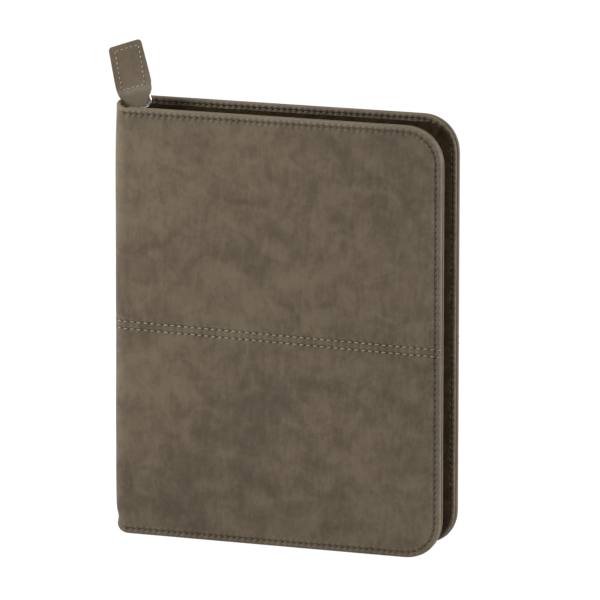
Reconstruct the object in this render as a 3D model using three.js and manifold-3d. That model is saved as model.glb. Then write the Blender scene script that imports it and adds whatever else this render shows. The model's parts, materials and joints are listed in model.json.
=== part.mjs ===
// A zip-around ring planner: two padded covers folded on a spine, an all-round zip gusset,
// a six-ring mechanism with its pages, and a zip slider with a ring and a leather pull tab.
// Millimetres, +Z up. The planner stands closed on its bottom edge with the front cover towards -Y,
// the spine at -X and the zipped fore-edge at +X.
import * as THREE from 'three';
import { mergeVertices } from 'three/addons/utils/BufferGeometryUtils.js';
import Module from 'manifold-3d';

const wasm = await Module();
wasm.setup();

// The pages that the planner is made for
const PAGE_WIDTH = 148;
const PAGE_HEIGHT = 210;

// Overall size, closed
const HEIGHT_OVER_PAGES = 30;
const WIDTH_OVER_PAGES = 38;
const HEIGHT = PAGE_HEIGHT + HEIGHT_OVER_PAGES;
const WIDTH = PAGE_WIDTH + WIDTH_OVER_PAGES;
const THICKNESS = 34;
const CORNER_RADIUS = 20;
const SPINE_CORNER_RADIUS = 2;

// Cover build-up, from the outside in
const SKIN = 3;
const SKIN_OVER_BOARD = 1.1;
const SKIN_ROLL = 1;
const BOARD_INSET = 7;
const FACING = 1.9;
const FACING_INSET = 0.4;
const FACING_ROLL = 0.6;
const GLUE = 0.1;

// Spine build-up
const SPINE_SKIN = 1.6;
const SPINE_BOARD = 1.6;
const SPINE_LINING = 0.8;
const SPINE_WRAP = 6;
const SPINE_OUTER_RADIUS = 4;
const SPINE_BOARD_TOP_DROP = 6;
const SPINE_BOARD_SIDE_DROP = 4.5;
const SPINE_LINING_DROP = 1;
const HINGE_GAP = 0.3;

// Zip: where the gusset stands, how its chain is cut
const GUSSET_INSET = 8;
const TAPE = 1;
const TAPE_FLANGE = 7;
const TAPE_FLANGE_THICKNESS = 0.8;
const CHAIN_Y = -2;
const ZIP_END_X = 6.8;
const TOOTH_PITCH = 4.5;
const TOOTH_WIDTH = 1.6;
const TOOTH_REACH = 0.6;
const TOOTH_HEIGHT = 2.6;
const BEAD_INNER = 0.9;
const BEAD_OUTER = 2.4;
const STOP_LENGTH = 3;
const STOP_WALL = 0.9;
const STOP_DEPTH = 2;
const STOP_TO_TOOTH = 1;

// Slider, ring and pull tab
const SLIDER_X = 10.6;
const SLIDER_LENGTH = 11;
const SLIDER_MOUTH = 9.6;
const SLIDER_TAIL = 8.4;
const SLIDER_PLATE = 1.2;
const SLIDER_FLANGE = 1;
const SLIDER_SLOT = 1.8;
const SLIDER_SHOULDER = 1;
const SLIDER_MOUTH_CORNER = 1.4;
const SLIDER_TAIL_CORNER = 0.8;
const FLANGE_FROM_MOUTH = 1.6;
const FLANGE_FROM_TAIL = 0.6;
const POST_FROM_MOUTH = 0.8;
const CHANNEL_CLEARANCE = 0.4;
const POST_LENGTH = 3.6;
const POST_WIDTH = 2.2;
const CROWN_WIDTH = 2.4;
const CROWN_WALL = 0.9;
const CROWN_HOLE_RADIUS = 1.6;
const PULL_WIRE_RADIUS = 0.7;
const PULL_RING_WIDTH = 11.8;
const PULL_RING_HEIGHT = 7.6;
const PULL_RING_LOWER_CORNER = 3.8;
const PULL_RING_UPPER_CORNER = 2;
const PULL_ROLL = -16.5;
const RING_LEAN = 12;
const TAB_LEAN = -10;
const TAB_WIDTH = 19.4;
const TAB_LENGTH = 28.3;
const TAB_TONGUE = 7;
const TAB_TONGUE_WIDTH = 9.6;
const TAB_WAIST_WIDTH = 10.4;
const TAB_WAIST_DROP = 1;
const TAB_LAYER = 1.35;
const TAB_CORNER_RADIUS = 1.6;
const TAB_SHIFT = -1.2;
const TAB_CLEARANCE = 0.4;
const TAB_SEAM = 0.15;
const TAB_NECK = 8;
const TAB_SWELL_START = 4.5;
const TAB_BEND_START = 3.7;

// Ring mechanism
const RING_SPACING = [-73, -54, -35, 35, 54, 73];
const RING_RADIUS = 8;
const RING_WIRE_RADIUS = 1;
const RING_TIP_GAP = 0.3;
const RING_ROOT_ANGLE = 165;
const BLADE_PAST_RINGS = 5;
const PLATE_PAST_BLADE = 12;
const PLATE_WIDTH = 15;
const PLATE_HEIGHT = 4.5;
const PLATE_WALL = 0.8;
const PLATE_SLOT = 3;
const PLATE_BRIDGE = 2.8;
const BLADE_WIDTH = 4.2;
const BLADE_THICKNESS = 0.8;
const BLADE_RISE = 1.2;
const BLADE_GAP = 0.8;
const LEVER_WIDTH = 9.4;
const LEVER_REACH = 10;
const LEVER_RISE = 1.8;
const LEVER_BEND = 0.55;
const LEVER_BEND_LOW = 1.08;
const LEVER_BEND_HIGH = 1.32;
const LEVER_BASE = 2;
const LEVER_THICKNESS = 1;
const LEVER_KNUCKLE_RADIUS = 1.2;
const LEVER_NOTCH = 3.4;
const RIVET_HEAD_RADIUS = 3;
const RIVET_HEAD = 0.4;
const RIVET_SHANK_RADIUS = 1.4;
const RIVET_END_DISTANCE = 6.5;

// Pages and what is filed with them
const PAGE_CORNER_RADIUS = 3;
const PAGE_STACK = 4.85;
const PAGE_HALF_GAP = 0.15;
const PAGE_EDGE_TO_RING = 1.4;
const PAGE_HOLE_OFFSET = 7;
const PAGE_HOLE_RADIUS = 3;
const DIVIDER = 0.5;
const DIVIDER_TAB_REACH = 5;
const DIVIDER_TAB_HEIGHT = 34;
const DIVIDER_TAB_CHAMFER = 3;
const BACK_DIVIDER_SHARE = 0.69;
const FRONT_DIVIDER_SHARE = 0.21;
const MARKER_PAST_HOLES = 18;
const SHEET_GAP = 0.1;

// Pockets and pen loop
const POCKET_WALL = 0.7;
const POCKET_SLOT = 0.6;
const POCKET_RIM = 2;
const POCKET_CORNER_RADIUS = 3;
const POCKET_LOW_Z = 17;
const CARD_POCKET_WIDTH = 92;
const CARD_POCKET_HEIGHT = 54;
const CARD_POCKET_STEP = 16;
const CARD_POCKET_TO_TOP = 58;
const CARD_POCKET_TO_FORE_EDGE = 36;
const SLIP_POCKET_X = 30;
const SLIP_POCKET_TO_FORE_EDGE = 24;
const SLIP_POCKET_HEIGHT = 90;
const NOTEPAD_POCKET_X = 27;
const NOTEPAD_POCKET_TO_FORE_EDGE = 27;
const NOTEPAD_POCKET_UNDER_PAGE = 60;
const PEN_LOOP_BORE = 8.4;
const PEN_LOOP_BAND = 0.8;
const PEN_LOOP_LENGTH = 35;
const PEN_LOOP_Z = 100;
const PEN_LOOP_CORNER = 2;
const PEN_LOOP_TO_GUSSET = 2;

// Small clearances
const SEAT = 0.3;
const BOARD_CLEARANCE = 0.05;
const WELD = 0.2;

// Worked-out levels
const HALF = THICKNESS / 2;
const INNER_Y = HALF - SKIN - GLUE - FACING;
const COVER_X = SPINE_WRAP + HINGE_GAP;
const SPINE_INNER_X = SPINE_SKIN + SPINE_BOARD + SPINE_LINING + 2 * GLUE;
const CHAIN_INSET = GUSSET_INSET + TAPE / 2;
const CHAIN_TOP_Z = HEIGHT - CHAIN_INSET;
const SLIDER_END_X = SLIDER_X + SLIDER_LENGTH / 2;
const PLATE_BASE_X = SPINE_INNER_X + SEAT;
const PLATE_TOP_X = PLATE_BASE_X + PLATE_HEIGHT;
const BLADE_LENGTH = 2 * (Math.max(...RING_SPACING) + BLADE_PAST_RINGS);
const PLATE_LENGTH = BLADE_LENGTH + 2 * PLATE_PAST_BLADE;
const RING_X = PLATE_TOP_X + PAGE_STACK + PAGE_HALF_GAP + 2 * RIVET_HEAD;
const MID_Z = HEIGHT / 2;
const PAGE_X = RING_X + PAGE_EDGE_TO_RING;
const PAGE_LOW_Z = MID_Z - PAGE_HEIGHT / 2;

const materials = {
  leather: new THREE.MeshStandardMaterial({ color: 0x6b5d4c, roughness: 0.72, metalness: 0 }),
  lining: new THREE.MeshStandardMaterial({ color: 0x3d342a, roughness: 0.85, metalness: 0 }),
  board: new THREE.MeshStandardMaterial({ color: 0x9a8f7d, roughness: 0.95, metalness: 0 }),
  tape: new THREE.MeshStandardMaterial({ color: 0x292218, roughness: 0.9, metalness: 0 }),
  teeth: new THREE.MeshStandardMaterial({ color: 0x2a241c, roughness: 0.5, metalness: 0 }),
  nickel: new THREE.MeshStandardMaterial({ color: 0xc9c6c2, roughness: 0.25, metalness: 1 }),
  paper: new THREE.MeshStandardMaterial({ color: 0xf2eee2, roughness: 0.9, metalness: 0 }),
  card: new THREE.MeshStandardMaterial({ color: 0xb9a98c, roughness: 0.8, metalness: 0 }),
  plastic: new THREE.MeshStandardMaterial({ color: 0xd9dcdb, roughness: 0.35, metalness: 0 }),
  elastic: new THREE.MeshStandardMaterial({ color: 0x241f19, roughness: 0.9, metalness: 0 }),
};

// Solid operations

function toSolid(geometry) {
  const bare = geometry.clone();
  bare.deleteAttribute('normal');
  bare.deleteAttribute('uv');
  const merged = mergeVertices(bare, 1e-4);
  const mesh = new wasm.Mesh({
    numProp: 3,
    vertProperties: new Float32Array(merged.attributes.position.array),
    triVerts: new Uint32Array(merged.index.array),
  });
  return new wasm.Manifold(mesh);
}

function toGeometry(solid) {
  const mesh = solid.getMesh();
  const geometry = new THREE.BufferGeometry();
  geometry.setAttribute('position', new THREE.BufferAttribute(new Float32Array(mesh.vertProperties), 3));
  geometry.setIndex(new THREE.BufferAttribute(new Uint32Array(mesh.triVerts), 1));
  geometry.computeVertexNormals();
  return geometry;
}

function join(...geometries) {
  return toGeometry(geometries.map(toSolid).reduce((a, b) => a.add(b)));
}

function cut(geometry, ...tools) {
  return toGeometry(tools.map(toSolid).reduce((a, b) => a.subtract(b), toSolid(geometry)));
}

function intersect(a, b) {
  return toGeometry(toSolid(a).intersect(toSolid(b)));
}

// A box from its low corner to its high corner
function block(x0, x1, y0, y1, z0, z1) {
  const geometry = new THREE.BoxGeometry(x1 - x0, y1 - y0, z1 - z0);
  return geometry.translate((x0 + x1) / 2, (y0 + y1) / 2, (z0 + z1) / 2);
}

// A shape drawn in X and Z, extruded from y0 to y1, with its rims rolled over by roll
function panel(shape, y0, y1, roll = 0, curveSegments = 4) {
  const geometry = new THREE.ExtrudeGeometry(shape, {
    depth: y1 - y0 - 2 * roll,
    bevelEnabled: roll > 0,
    bevelThickness: roll,
    bevelSize: roll,
    bevelOffset: -roll,
    bevelSegments: 2,
    curveSegments,
  });
  return geometry.rotateX(Math.PI / 2).translate(0, y1 - roll, 0);
}

// A shape drawn in X and Y, extruded from z0 to z1
function prism(shape, z0, z1, curveSegments = 4) {
  const geometry = new THREE.ExtrudeGeometry(shape, { depth: z1 - z0, bevelEnabled: false, curveSegments });
  return geometry.translate(0, 0, z0);
}

// A rod along X, Y or Z
function rod(axis, radius, from, to, a, b, sides = 12) {
  const geometry = new THREE.CylinderGeometry(radius, radius, to - from, sides);
  const middle = (from + to) / 2;
  if (axis === 'x') return geometry.rotateZ(Math.PI / 2).translate(middle, a, b);
  if (axis === 'y') return geometry.translate(a, middle, b);
  return geometry.rotateX(Math.PI / 2).translate(a, b, middle);
}

function roundedRect(x0, x1, z0, z1, radius) {
  const shape = new THREE.Shape();
  shape.moveTo(x0 + radius, z0);
  shape.lineTo(x1 - radius, z0);
  shape.absarc(x1 - radius, z0 + radius, radius, -Math.PI / 2, 0, false);
  shape.lineTo(x1, z1 - radius);
  shape.absarc(x1 - radius, z1 - radius, radius, 0, Math.PI / 2, false);
  shape.lineTo(x0 + radius, z1);
  shape.absarc(x0 + radius, z1 - radius, radius, Math.PI / 2, Math.PI, false);
  shape.lineTo(x0, z0 + radius);
  shape.absarc(x0 + radius, z0 + radius, radius, Math.PI, 1.5 * Math.PI, false);
  return shape;
}

// The outline that every cover layer follows, set in from the cover's edge
function coverShape(inset) {
  const x0 = COVER_X + inset;
  const x1 = WIDTH - inset;
  const z0 = inset;
  const z1 = HEIGHT - inset;
  const outer = Math.max(CORNER_RADIUS - inset, SPINE_CORNER_RADIUS);
  const shape = new THREE.Shape();
  shape.moveTo(x0 + SPINE_CORNER_RADIUS, z0);
  shape.lineTo(x1 - outer, z0);
  shape.absarc(x1 - outer, z0 + outer, outer, -Math.PI / 2, 0, false);
  shape.lineTo(x1, z1 - outer);
  shape.absarc(x1 - outer, z1 - outer, outer, 0, Math.PI / 2, false);
  shape.lineTo(x0 + SPINE_CORNER_RADIUS, z1);
  const r = SPINE_CORNER_RADIUS;
  shape.absarc(x0 + r, z1 - r, r, Math.PI / 2, Math.PI, false);
  shape.lineTo(x0, z0 + r);
  shape.absarc(x0 + r, z0 + r, r, Math.PI, 1.5 * Math.PI, false);
  return shape;
}

// A band between two insets that runs along the top, round the fore-edge and back along the bottom
function gussetBand(inset, width) {
  const cx = WIDTH - CORNER_RADIUS;
  const lowZ = CORNER_RADIUS;
  const highZ = HEIGHT - CORNER_RADIUS;
  const outer = CORNER_RADIUS - inset;
  const inner = outer - width;
  const shape = new THREE.Shape();
  shape.moveTo(ZIP_END_X, inset);
  shape.lineTo(cx, inset);
  shape.absarc(cx, lowZ, outer, -Math.PI / 2, 0, false);
  shape.lineTo(WIDTH - inset, highZ);
  shape.absarc(cx, highZ, outer, 0, Math.PI / 2, false);
  shape.lineTo(ZIP_END_X, HEIGHT - inset);
  shape.lineTo(ZIP_END_X, HEIGHT - inset - width);
  shape.lineTo(cx, HEIGHT - inset - width);
  shape.absarc(cx, highZ, inner, Math.PI / 2, 0, true);
  shape.lineTo(WIDTH - inset - width, lowZ);
  shape.absarc(cx, lowZ, inner, 0, -Math.PI / 2, true);
  shape.lineTo(ZIP_END_X, inset + width);
  return shape;
}

// Orders two Y levels given on the front or back side
function spanY(side, a, b) {
  return side < 0 ? [-b, -a] : [a, b];
}

// Covers

function coverSkin(side) {
  const [y0, y1] = spanY(side, HALF - SKIN, HALF);
  const shell = panel(coverShape(0), y0, y1, SKIN_ROLL);
  const [r0, r1] = spanY(side, HALF - SKIN - 1, HALF - SKIN_OVER_BOARD);
  return cut(shell, panel(coverShape(BOARD_INSET), r0, r1));
}

function coverBoard(side) {
  const low = HALF - SKIN + BOARD_CLEARANCE;
  const high = HALF - SKIN_OVER_BOARD - BOARD_CLEARANCE;
  const [y0, y1] = spanY(side, low, high);
  return panel(coverShape(BOARD_INSET + SEAT), y0, y1);
}

function coverFacing(side) {
  const [y0, y1] = spanY(side, INNER_Y, INNER_Y + FACING);
  return panel(coverShape(FACING_INSET), y0, y1, FACING_ROLL);
}

// Zip tape: a wall from the cover to the chain and a flange sewn flat on the cover's facing
function zipTape(side) {
  const wallEnd = side * CHAIN_Y + BEAD_OUTER + SEAT;
  const [w0, w1] = spanY(side, wallEnd, INNER_Y - GLUE);
  const [f0, f1] = spanY(side, INNER_Y - GLUE - TAPE_FLANGE_THICKNESS, INNER_Y - GLUE);
  const wall = panel(gussetBand(GUSSET_INSET, TAPE), w0, w1);
  const flange = panel(gussetBand(GUSSET_INSET, TAPE_FLANGE), f0, f1);
  return join(wall, flange);
}

// A point on the chain's path: s runs from the slider end of the top run, round the fore-edge, to the bottom end
const chain = {
  radius: CORNER_RADIUS - CHAIN_INSET,
  startX: SLIDER_END_X + SEAT,
  endX: ZIP_END_X + STOP_LENGTH + 2 * SEAT + STOP_TO_TOOTH,
  topRun: WIDTH - CORNER_RADIUS - SLIDER_END_X - SEAT,
  sideRun: HEIGHT - 2 * CORNER_RADIUS,
};
chain.arc = (chain.radius * Math.PI) / 2;
chain.length = chain.topRun + 2 * chain.arc + chain.sideRun + WIDTH - CORNER_RADIUS - chain.endX;

function chainPoint(s, y, outward) {
  const cx = WIDTH - CORNER_RADIUS;
  const radius = chain.radius + outward;
  let rest = s;
  if (rest <= chain.topRun) return [chain.startX + rest, y, CHAIN_TOP_Z + outward];
  rest -= chain.topRun;
  if (rest <= chain.arc) {
    const angle = rest / chain.radius;
    return [cx + radius * Math.sin(angle), y, HEIGHT - CORNER_RADIUS + radius * Math.cos(angle)];
  }
  rest -= chain.arc;
  if (rest <= chain.sideRun) return [cx + radius, y, HEIGHT - CORNER_RADIUS - rest];
  rest -= chain.sideRun;
  if (rest <= chain.arc) {
    const angle = rest / chain.radius;
    return [cx + radius * Math.cos(angle), y, CORNER_RADIUS - radius * Math.sin(angle)];
  }
  rest -= chain.arc;
  return [cx - rest, y, CHAIN_INSET - outward];
}

// One row of the zip chain: a bead along the tape's edge with a tooth at every pitch, bent round the path
function zipTeeth(side) {
  const count = Math.floor(chain.length / TOOTH_PITCH) - 1;
  const first = side > 0 ? TOOTH_PITCH * 0.25 : TOOTH_PITCH * 0.75;
  const yOuter = CHAIN_Y + side * BEAD_OUTER;
  const yBead = CHAIN_Y + side * BEAD_INNER;
  const yTip = CHAIN_Y - side * TOOTH_REACH;
  const up = TOOTH_HEIGHT / 2;
  const positions = [];
  const quad = (a, b, c, d) => {
    const corners = side > 0 ? [a, b, c, a, c, d] : [a, c, b, a, d, c];
    corners.forEach((p) => positions.push(...p));
  };
  const stations = [0];
  for (let i = 0; i < count; i += 1) {
    stations.push(first + i * TOOTH_PITCH, first + i * TOOTH_PITCH + TOOTH_WIDTH);
  }
  stations.push(first + (count - 1) * TOOTH_PITCH + 2 * TOOTH_WIDTH);
  // Faces over one stretch between two levels of y, on the outer and the inner side
  const skins = (s0, s1, ya, yb) => {
    quad(chainPoint(s0, ya, up), chainPoint(s0, yb, up), chainPoint(s1, yb, up), chainPoint(s1, ya, up));
    quad(chainPoint(s1, ya, -up), chainPoint(s1, yb, -up), chainPoint(s0, yb, -up), chainPoint(s0, ya, -up));
  };
  const wall = (s0, s1, y, flip) => {
    const [a, b] = flip ? [s1, s0] : [s0, s1];
    quad(chainPoint(a, y, up), chainPoint(b, y, up), chainPoint(b, y, -up), chainPoint(a, y, -up));
  };
  const step = (s, ya, yb, flip) => {
    const [a, b] = flip ? [yb, ya] : [ya, yb];
    quad(chainPoint(s, a, up), chainPoint(s, a, -up), chainPoint(s, b, -up), chainPoint(s, b, up));
  };
  for (let i = 0; i + 1 < stations.length; i += 1) {
    const s0 = stations[i];
    const s1 = stations[i + 1];
    const isTooth = i % 2 === 1;
    skins(s0, s1, yOuter, yBead);
    wall(s0, s1, yOuter, false);
    if (isTooth) {
      skins(s0, s1, yBead, yTip);
      wall(s0, s1, yTip, true);
      step(s0, yBead, yTip, false);
      step(s1, yBead, yTip, true);
    } else {
      wall(s0, s1, yBead, true);
    }
  }
  step(stations[0], yOuter, yBead, false);
  step(stations[stations.length - 1], yOuter, yBead, true);
  const geometry = new THREE.BufferGeometry();
  geometry.setAttribute('position', new THREE.Float32BufferAttribute(positions, 3));
  geometry.computeVertexNormals();
  return geometry;
}

// A crimped stop at the bottom end of one tape
function zipStop(side) {
  const x0 = ZIP_END_X + SEAT;
  const inner = CHAIN_Y + side * (BEAD_OUTER + SEAT);
  const outer = inner + side * STOP_DEPTH;
  const [y0, y1] = [Math.min(inner, outer), Math.max(inner, outer)];
  const nose = side > 0 ? [y0 - STOP_WALL - SEAT, y0] : [y1, y1 + STOP_WALL + SEAT];
  const reach = TAPE / 2 + SEAT + STOP_WALL;
  const low = Math.min(y0, nose[0]);
  const high = Math.max(y1, nose[1]);
  const body = block(x0, x0 + STOP_LENGTH, low, high, CHAIN_INSET - reach, CHAIN_INSET + reach);
  const slotLow = side > 0 ? inner - SEAT : low - 1;
  const slotHigh = side > 0 ? high + 1 : inner + SEAT;
  const half = TAPE / 2 + SEAT;
  return cut(body, block(x0 - 1, x0 + STOP_LENGTH + 1, slotLow, slotHigh, CHAIN_INSET - half, CHAIN_INSET + half));
}

// Slider: two plates round the chain, flanges that leave a slot for the tapes, a post between the rows
// and a crown across the top that holds the pull ring
function sliderPlate(z0, z1) {
  const x0 = SLIDER_X - SLIDER_LENGTH / 2;
  const x1 = SLIDER_END_X;
  const [mouthLow, mouthHigh] = [CHAIN_Y - SLIDER_MOUTH / 2, CHAIN_Y + SLIDER_MOUTH / 2];
  const [tailLow, tailHigh] = [CHAIN_Y - SLIDER_TAIL / 2, CHAIN_Y + SLIDER_TAIL / 2];
  const shape = new THREE.Shape();
  shape.moveTo(x0 + SLIDER_SHOULDER, mouthLow);
  shape.lineTo(SLIDER_X, mouthLow);
  shape.lineTo(x1 - SLIDER_TAIL_CORNER, tailLow);
  shape.quadraticCurveTo(x1, tailLow, x1, tailLow + SLIDER_SHOULDER);
  shape.lineTo(x1, tailHigh - SLIDER_SHOULDER);
  shape.quadraticCurveTo(x1, tailHigh, x1 - SLIDER_TAIL_CORNER, tailHigh);
  shape.lineTo(SLIDER_X, mouthHigh);
  shape.lineTo(x0 + SLIDER_SHOULDER, mouthHigh);
  shape.quadraticCurveTo(x0, mouthHigh, x0, mouthHigh - SLIDER_MOUTH_CORNER);
  shape.lineTo(x0, mouthLow + SLIDER_MOUTH_CORNER);
  shape.quadraticCurveTo(x0, mouthLow, x0 + SLIDER_SHOULDER, mouthLow);
  return prism(shape, z0, z1, 3);
}

const channelHalf = TOOTH_HEIGHT / 2 + CHANNEL_CLEARANCE;
const sliderTopZ = CHAIN_TOP_Z + channelHalf + SLIDER_PLATE;
const crownZ = sliderTopZ + CROWN_HOLE_RADIUS + CHANNEL_CLEARANCE;

function sliderCrown() {
  const outer = CROWN_HOLE_RADIUS + CROWN_WALL;
  const shape = new THREE.Shape();
  shape.moveTo(-outer, sliderTopZ - crownZ - WELD);
  shape.lineTo(-outer, 0);
  shape.absarc(0, 0, outer, Math.PI, 0, true);
  shape.lineTo(outer, sliderTopZ - crownZ - WELD);
  shape.lineTo(CROWN_HOLE_RADIUS, sliderTopZ - crownZ - WELD);
  shape.lineTo(CROWN_HOLE_RADIUS, 0);
  shape.absarc(0, 0, CROWN_HOLE_RADIUS, 0, Math.PI, false);
  shape.lineTo(-CROWN_HOLE_RADIUS, sliderTopZ - crownZ - WELD);
  const geometry = new THREE.ExtrudeGeometry(shape, { depth: CROWN_WIDTH, bevelEnabled: false, curveSegments: 6 });
  // The shape's x becomes Y, its y becomes Z and its depth becomes X
  geometry.rotateX(Math.PI / 2).rotateZ(Math.PI / 2);
  return geometry.translate(SLIDER_X - CROWN_WIDTH / 2, CHAIN_Y, crownZ);
}

function zipSlider() {
  const low = CHAIN_TOP_Z - channelHalf;
  const high = CHAIN_TOP_Z + channelHalf;
  const x0 = SLIDER_X - SLIDER_LENGTH / 2;
  const postX = x0 + POST_FROM_MOUTH;
  const pieces = [
    sliderPlate(low - SLIDER_PLATE, low),
    sliderPlate(high, high + SLIDER_PLATE),
    block(postX, postX + POST_LENGTH, CHAIN_Y - POST_WIDTH / 2, CHAIN_Y + POST_WIDTH / 2, low - WELD, high + WELD),
    sliderCrown(),
  ];
  for (const side of [-1, 1]) {
    const outer = CHAIN_Y + (side * SLIDER_TAIL) / 2;
    const inner = outer - side * SLIDER_FLANGE;
    const [y0, y1] = [Math.min(outer, inner), Math.max(outer, inner)];
    const fx0 = x0 + FLANGE_FROM_MOUTH;
    const fx1 = SLIDER_END_X - FLANGE_FROM_TAIL;
    pieces.push(block(fx0, fx1, y0, y1, CHAIN_TOP_Z + SLIDER_SLOT / 2, high + WELD));
    pieces.push(block(fx0, fx1, y0, y1, low - WELD, CHAIN_TOP_Z - SLIDER_SLOT / 2));
  }
  return join(...pieces);
}

// A closed wire loop in the XZ plane that starts at its lower bar and rises to its upper bar
function pullRing() {
  const loop = new THREE.Path();
  const half = PULL_RING_WIDTH / 2;
  const low = PULL_RING_LOWER_CORNER;
  const up = PULL_RING_UPPER_CORNER;
  loop.moveTo(-half + low, 0);
  loop.lineTo(half - low, 0);
  loop.absarc(half - low, low, low, -Math.PI / 2, 0, false);
  loop.absarc(half - up, PULL_RING_HEIGHT - up, up, 0, Math.PI / 2, false);
  loop.absarc(-half + up, PULL_RING_HEIGHT - up, up, Math.PI / 2, Math.PI, false);
  loop.absarc(-half + low, low, low, Math.PI, 1.5 * Math.PI, false);
  const points = loop.getPoints(3).filter((p, i, all) => i === 0 || p.distanceTo(all[i - 1]) > 0.05);
  if (points[0].distanceTo(points[points.length - 1]) < 0.05) points.pop();
  return closedTube(points, PULL_WIRE_RADIUS, 8);
}

function closedTube(points, radius, sides) {
  const n = points.length;
  const vertices = [];
  const index = [];
  for (let i = 0; i < n; i += 1) {
    const before = points[(i + n - 1) % n];
    const after = points[(i + 1) % n];
    const along = new THREE.Vector2().subVectors(after, before).normalize();
    for (let j = 0; j < sides; j += 1) {
      const angle = (2 * Math.PI * j) / sides;
      const out = radius * Math.cos(angle);
      vertices.push(points[i].x + along.y * out, radius * Math.sin(angle), points[i].y - along.x * out);
    }
  }
  for (let i = 0; i < n; i += 1) {
    for (let j = 0; j < sides; j += 1) {
      const a = i * sides + j;
      const b = ((i + 1) % n) * sides + j;
      const c = ((i + 1) % n) * sides + ((j + 1) % sides);
      const d = i * sides + ((j + 1) % sides);
      index.push(a, d, c, a, c, b);
    }
  }
  const geometry = new THREE.BufferGeometry();
  geometry.setAttribute('position', new THREE.Float32BufferAttribute(vertices, 3));
  geometry.setIndex(index);
  geometry.computeVertexNormals();
  return geometry;
}

// Pull tab: two leather layers, drawn with the ring's upper bar at the origin and the tab rising in Z
function tabOutline() {
  const half = TAB_WIDTH / 2;
  const r = TAB_CORNER_RADIUS;
  const foot = TAB_TONGUE_WIDTH / 2;
  const waist = TAB_WAIST_WIDTH / 2;
  const s = TAB_SHIFT;
  const shape = new THREE.Shape();
  shape.moveTo(s + half, TAB_SWELL_START);
  shape.lineTo(s + half, TAB_LENGTH - r);
  shape.absarc(s + half - r, TAB_LENGTH - r, r, 0, Math.PI / 2, false);
  shape.lineTo(s - half + r, TAB_LENGTH);
  shape.absarc(s - half + r, TAB_LENGTH - r, r, Math.PI / 2, Math.PI, false);
  shape.lineTo(s - half, TAB_SWELL_START);
  shape.quadraticCurveTo(s - half, TAB_WAIST_DROP, s - waist, -TAB_WAIST_DROP);
  shape.lineTo(s - foot, -TAB_TONGUE);
  shape.lineTo(s + foot, -TAB_TONGUE);
  shape.lineTo(s + waist, -TAB_WAIST_DROP);
  shape.quadraticCurveTo(s + half, TAB_WAIST_DROP, s + half, TAB_SWELL_START);
  return panel(shape, -tabDepth, tabDepth, 0, 5);
}

const tabProud = PULL_WIRE_RADIUS + TAB_CLEARANCE;
const tabHook = tabProud + TAB_LAYER;
const tabDepth = 2 * tabHook;
const tabOver = TAB_LENGTH + SEAT;

// The front layer runs down over the ring as a tongue
function tabFront() {
  const side = new THREE.Shape();
  side.moveTo(-TAB_SEAM, tabOver);
  side.lineTo(-TAB_SEAM - TAB_LAYER, tabOver);
  side.lineTo(-TAB_SEAM - TAB_LAYER, TAB_SWELL_START);
  side.lineTo(-tabHook, tabProud + TAB_CLEARANCE);
  side.lineTo(-tabHook, -TAB_TONGUE - SEAT);
  side.lineTo(-tabProud, -TAB_TONGUE - SEAT);
  side.lineTo(-tabProud, tabProud);
  side.lineTo(-TAB_SEAM, TAB_BEND_START);
  return intersect(sideProfile(side), tabOutline());
}

// The back layer ends in a narrow fold that hooks under the ring's upper bar
function tabBack() {
  const hookTop = -tabProud + SEAT;
  const hookLow = -tabHook + SEAT;
  const side = new THREE.Shape();
  side.moveTo(TAB_SEAM, tabOver);
  side.lineTo(TAB_SEAM, TAB_BEND_START);
  side.lineTo(tabProud, tabProud);
  side.lineTo(tabProud, -tabProud / 2);
  side.lineTo(tabProud / 2, -tabProud);
  side.lineTo(hookTop, -tabProud);
  side.lineTo(hookTop, hookLow);
  side.lineTo(tabProud, hookLow);
  side.lineTo(tabHook, -tabProud);
  side.lineTo(tabHook, tabProud + TAB_CLEARANCE);
  side.lineTo(TAB_SEAM + TAB_LAYER, TAB_SWELL_START);
  side.lineTo(TAB_SEAM + TAB_LAYER, tabOver);
  const upper = intersect(tabOutline(), block(-TAB_WIDTH, TAB_WIDTH, -tabDepth, tabDepth, tabProud, tabOver));
  const neckHalf = TAB_NECK / 2;
  const neck = block(-neckHalf, neckHalf, -tabDepth, tabDepth, -tabHook, TAB_SWELL_START);
  return intersect(sideProfile(side), join(upper, neck));
}

// A side profile drawn in Y and Z, extruded across the tab's width
function sideProfile(shape) {
  const geometry = new THREE.ExtrudeGeometry(shape, { depth: 2 * TAB_WIDTH, bevelEnabled: false });
  return geometry.rotateX(Math.PI / 2).rotateZ(Math.PI / 2).translate(-TAB_WIDTH, 0, 0);
}

// Spine: a skin that wraps round both corners, a board and a lining
function spineSkin() {
  const shape = new THREE.Shape();
  const r = SPINE_OUTER_RADIUS;
  const inner = r - SPINE_SKIN;
  shape.moveTo(SPINE_WRAP, -HALF);
  shape.lineTo(SPINE_WRAP, -HALF + SPINE_SKIN);
  shape.lineTo(r, -HALF + SPINE_SKIN);
  shape.absarc(r, -HALF + r, inner, -Math.PI / 2, Math.PI, true);
  shape.lineTo(SPINE_SKIN, HALF - r);
  shape.absarc(r, HALF - r, inner, Math.PI, Math.PI / 2, true);
  shape.lineTo(SPINE_WRAP, HALF - SPINE_SKIN);
  shape.lineTo(SPINE_WRAP, HALF);
  shape.lineTo(r, HALF);
  shape.absarc(r, HALF - r, r, Math.PI / 2, Math.PI, false);
  shape.lineTo(0, -HALF + r);
  shape.absarc(r, -HALF + r, r, Math.PI, 1.5 * Math.PI, false);
  return prism(shape, 0, HEIGHT, 5);
}

function spineBoard() {
  const x0 = SPINE_SKIN + GLUE;
  const half = HALF - SPINE_BOARD_SIDE_DROP;
  return block(x0, x0 + SPINE_BOARD, -half, half, SPINE_BOARD_TOP_DROP, HEIGHT - SPINE_BOARD_TOP_DROP);
}

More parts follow.
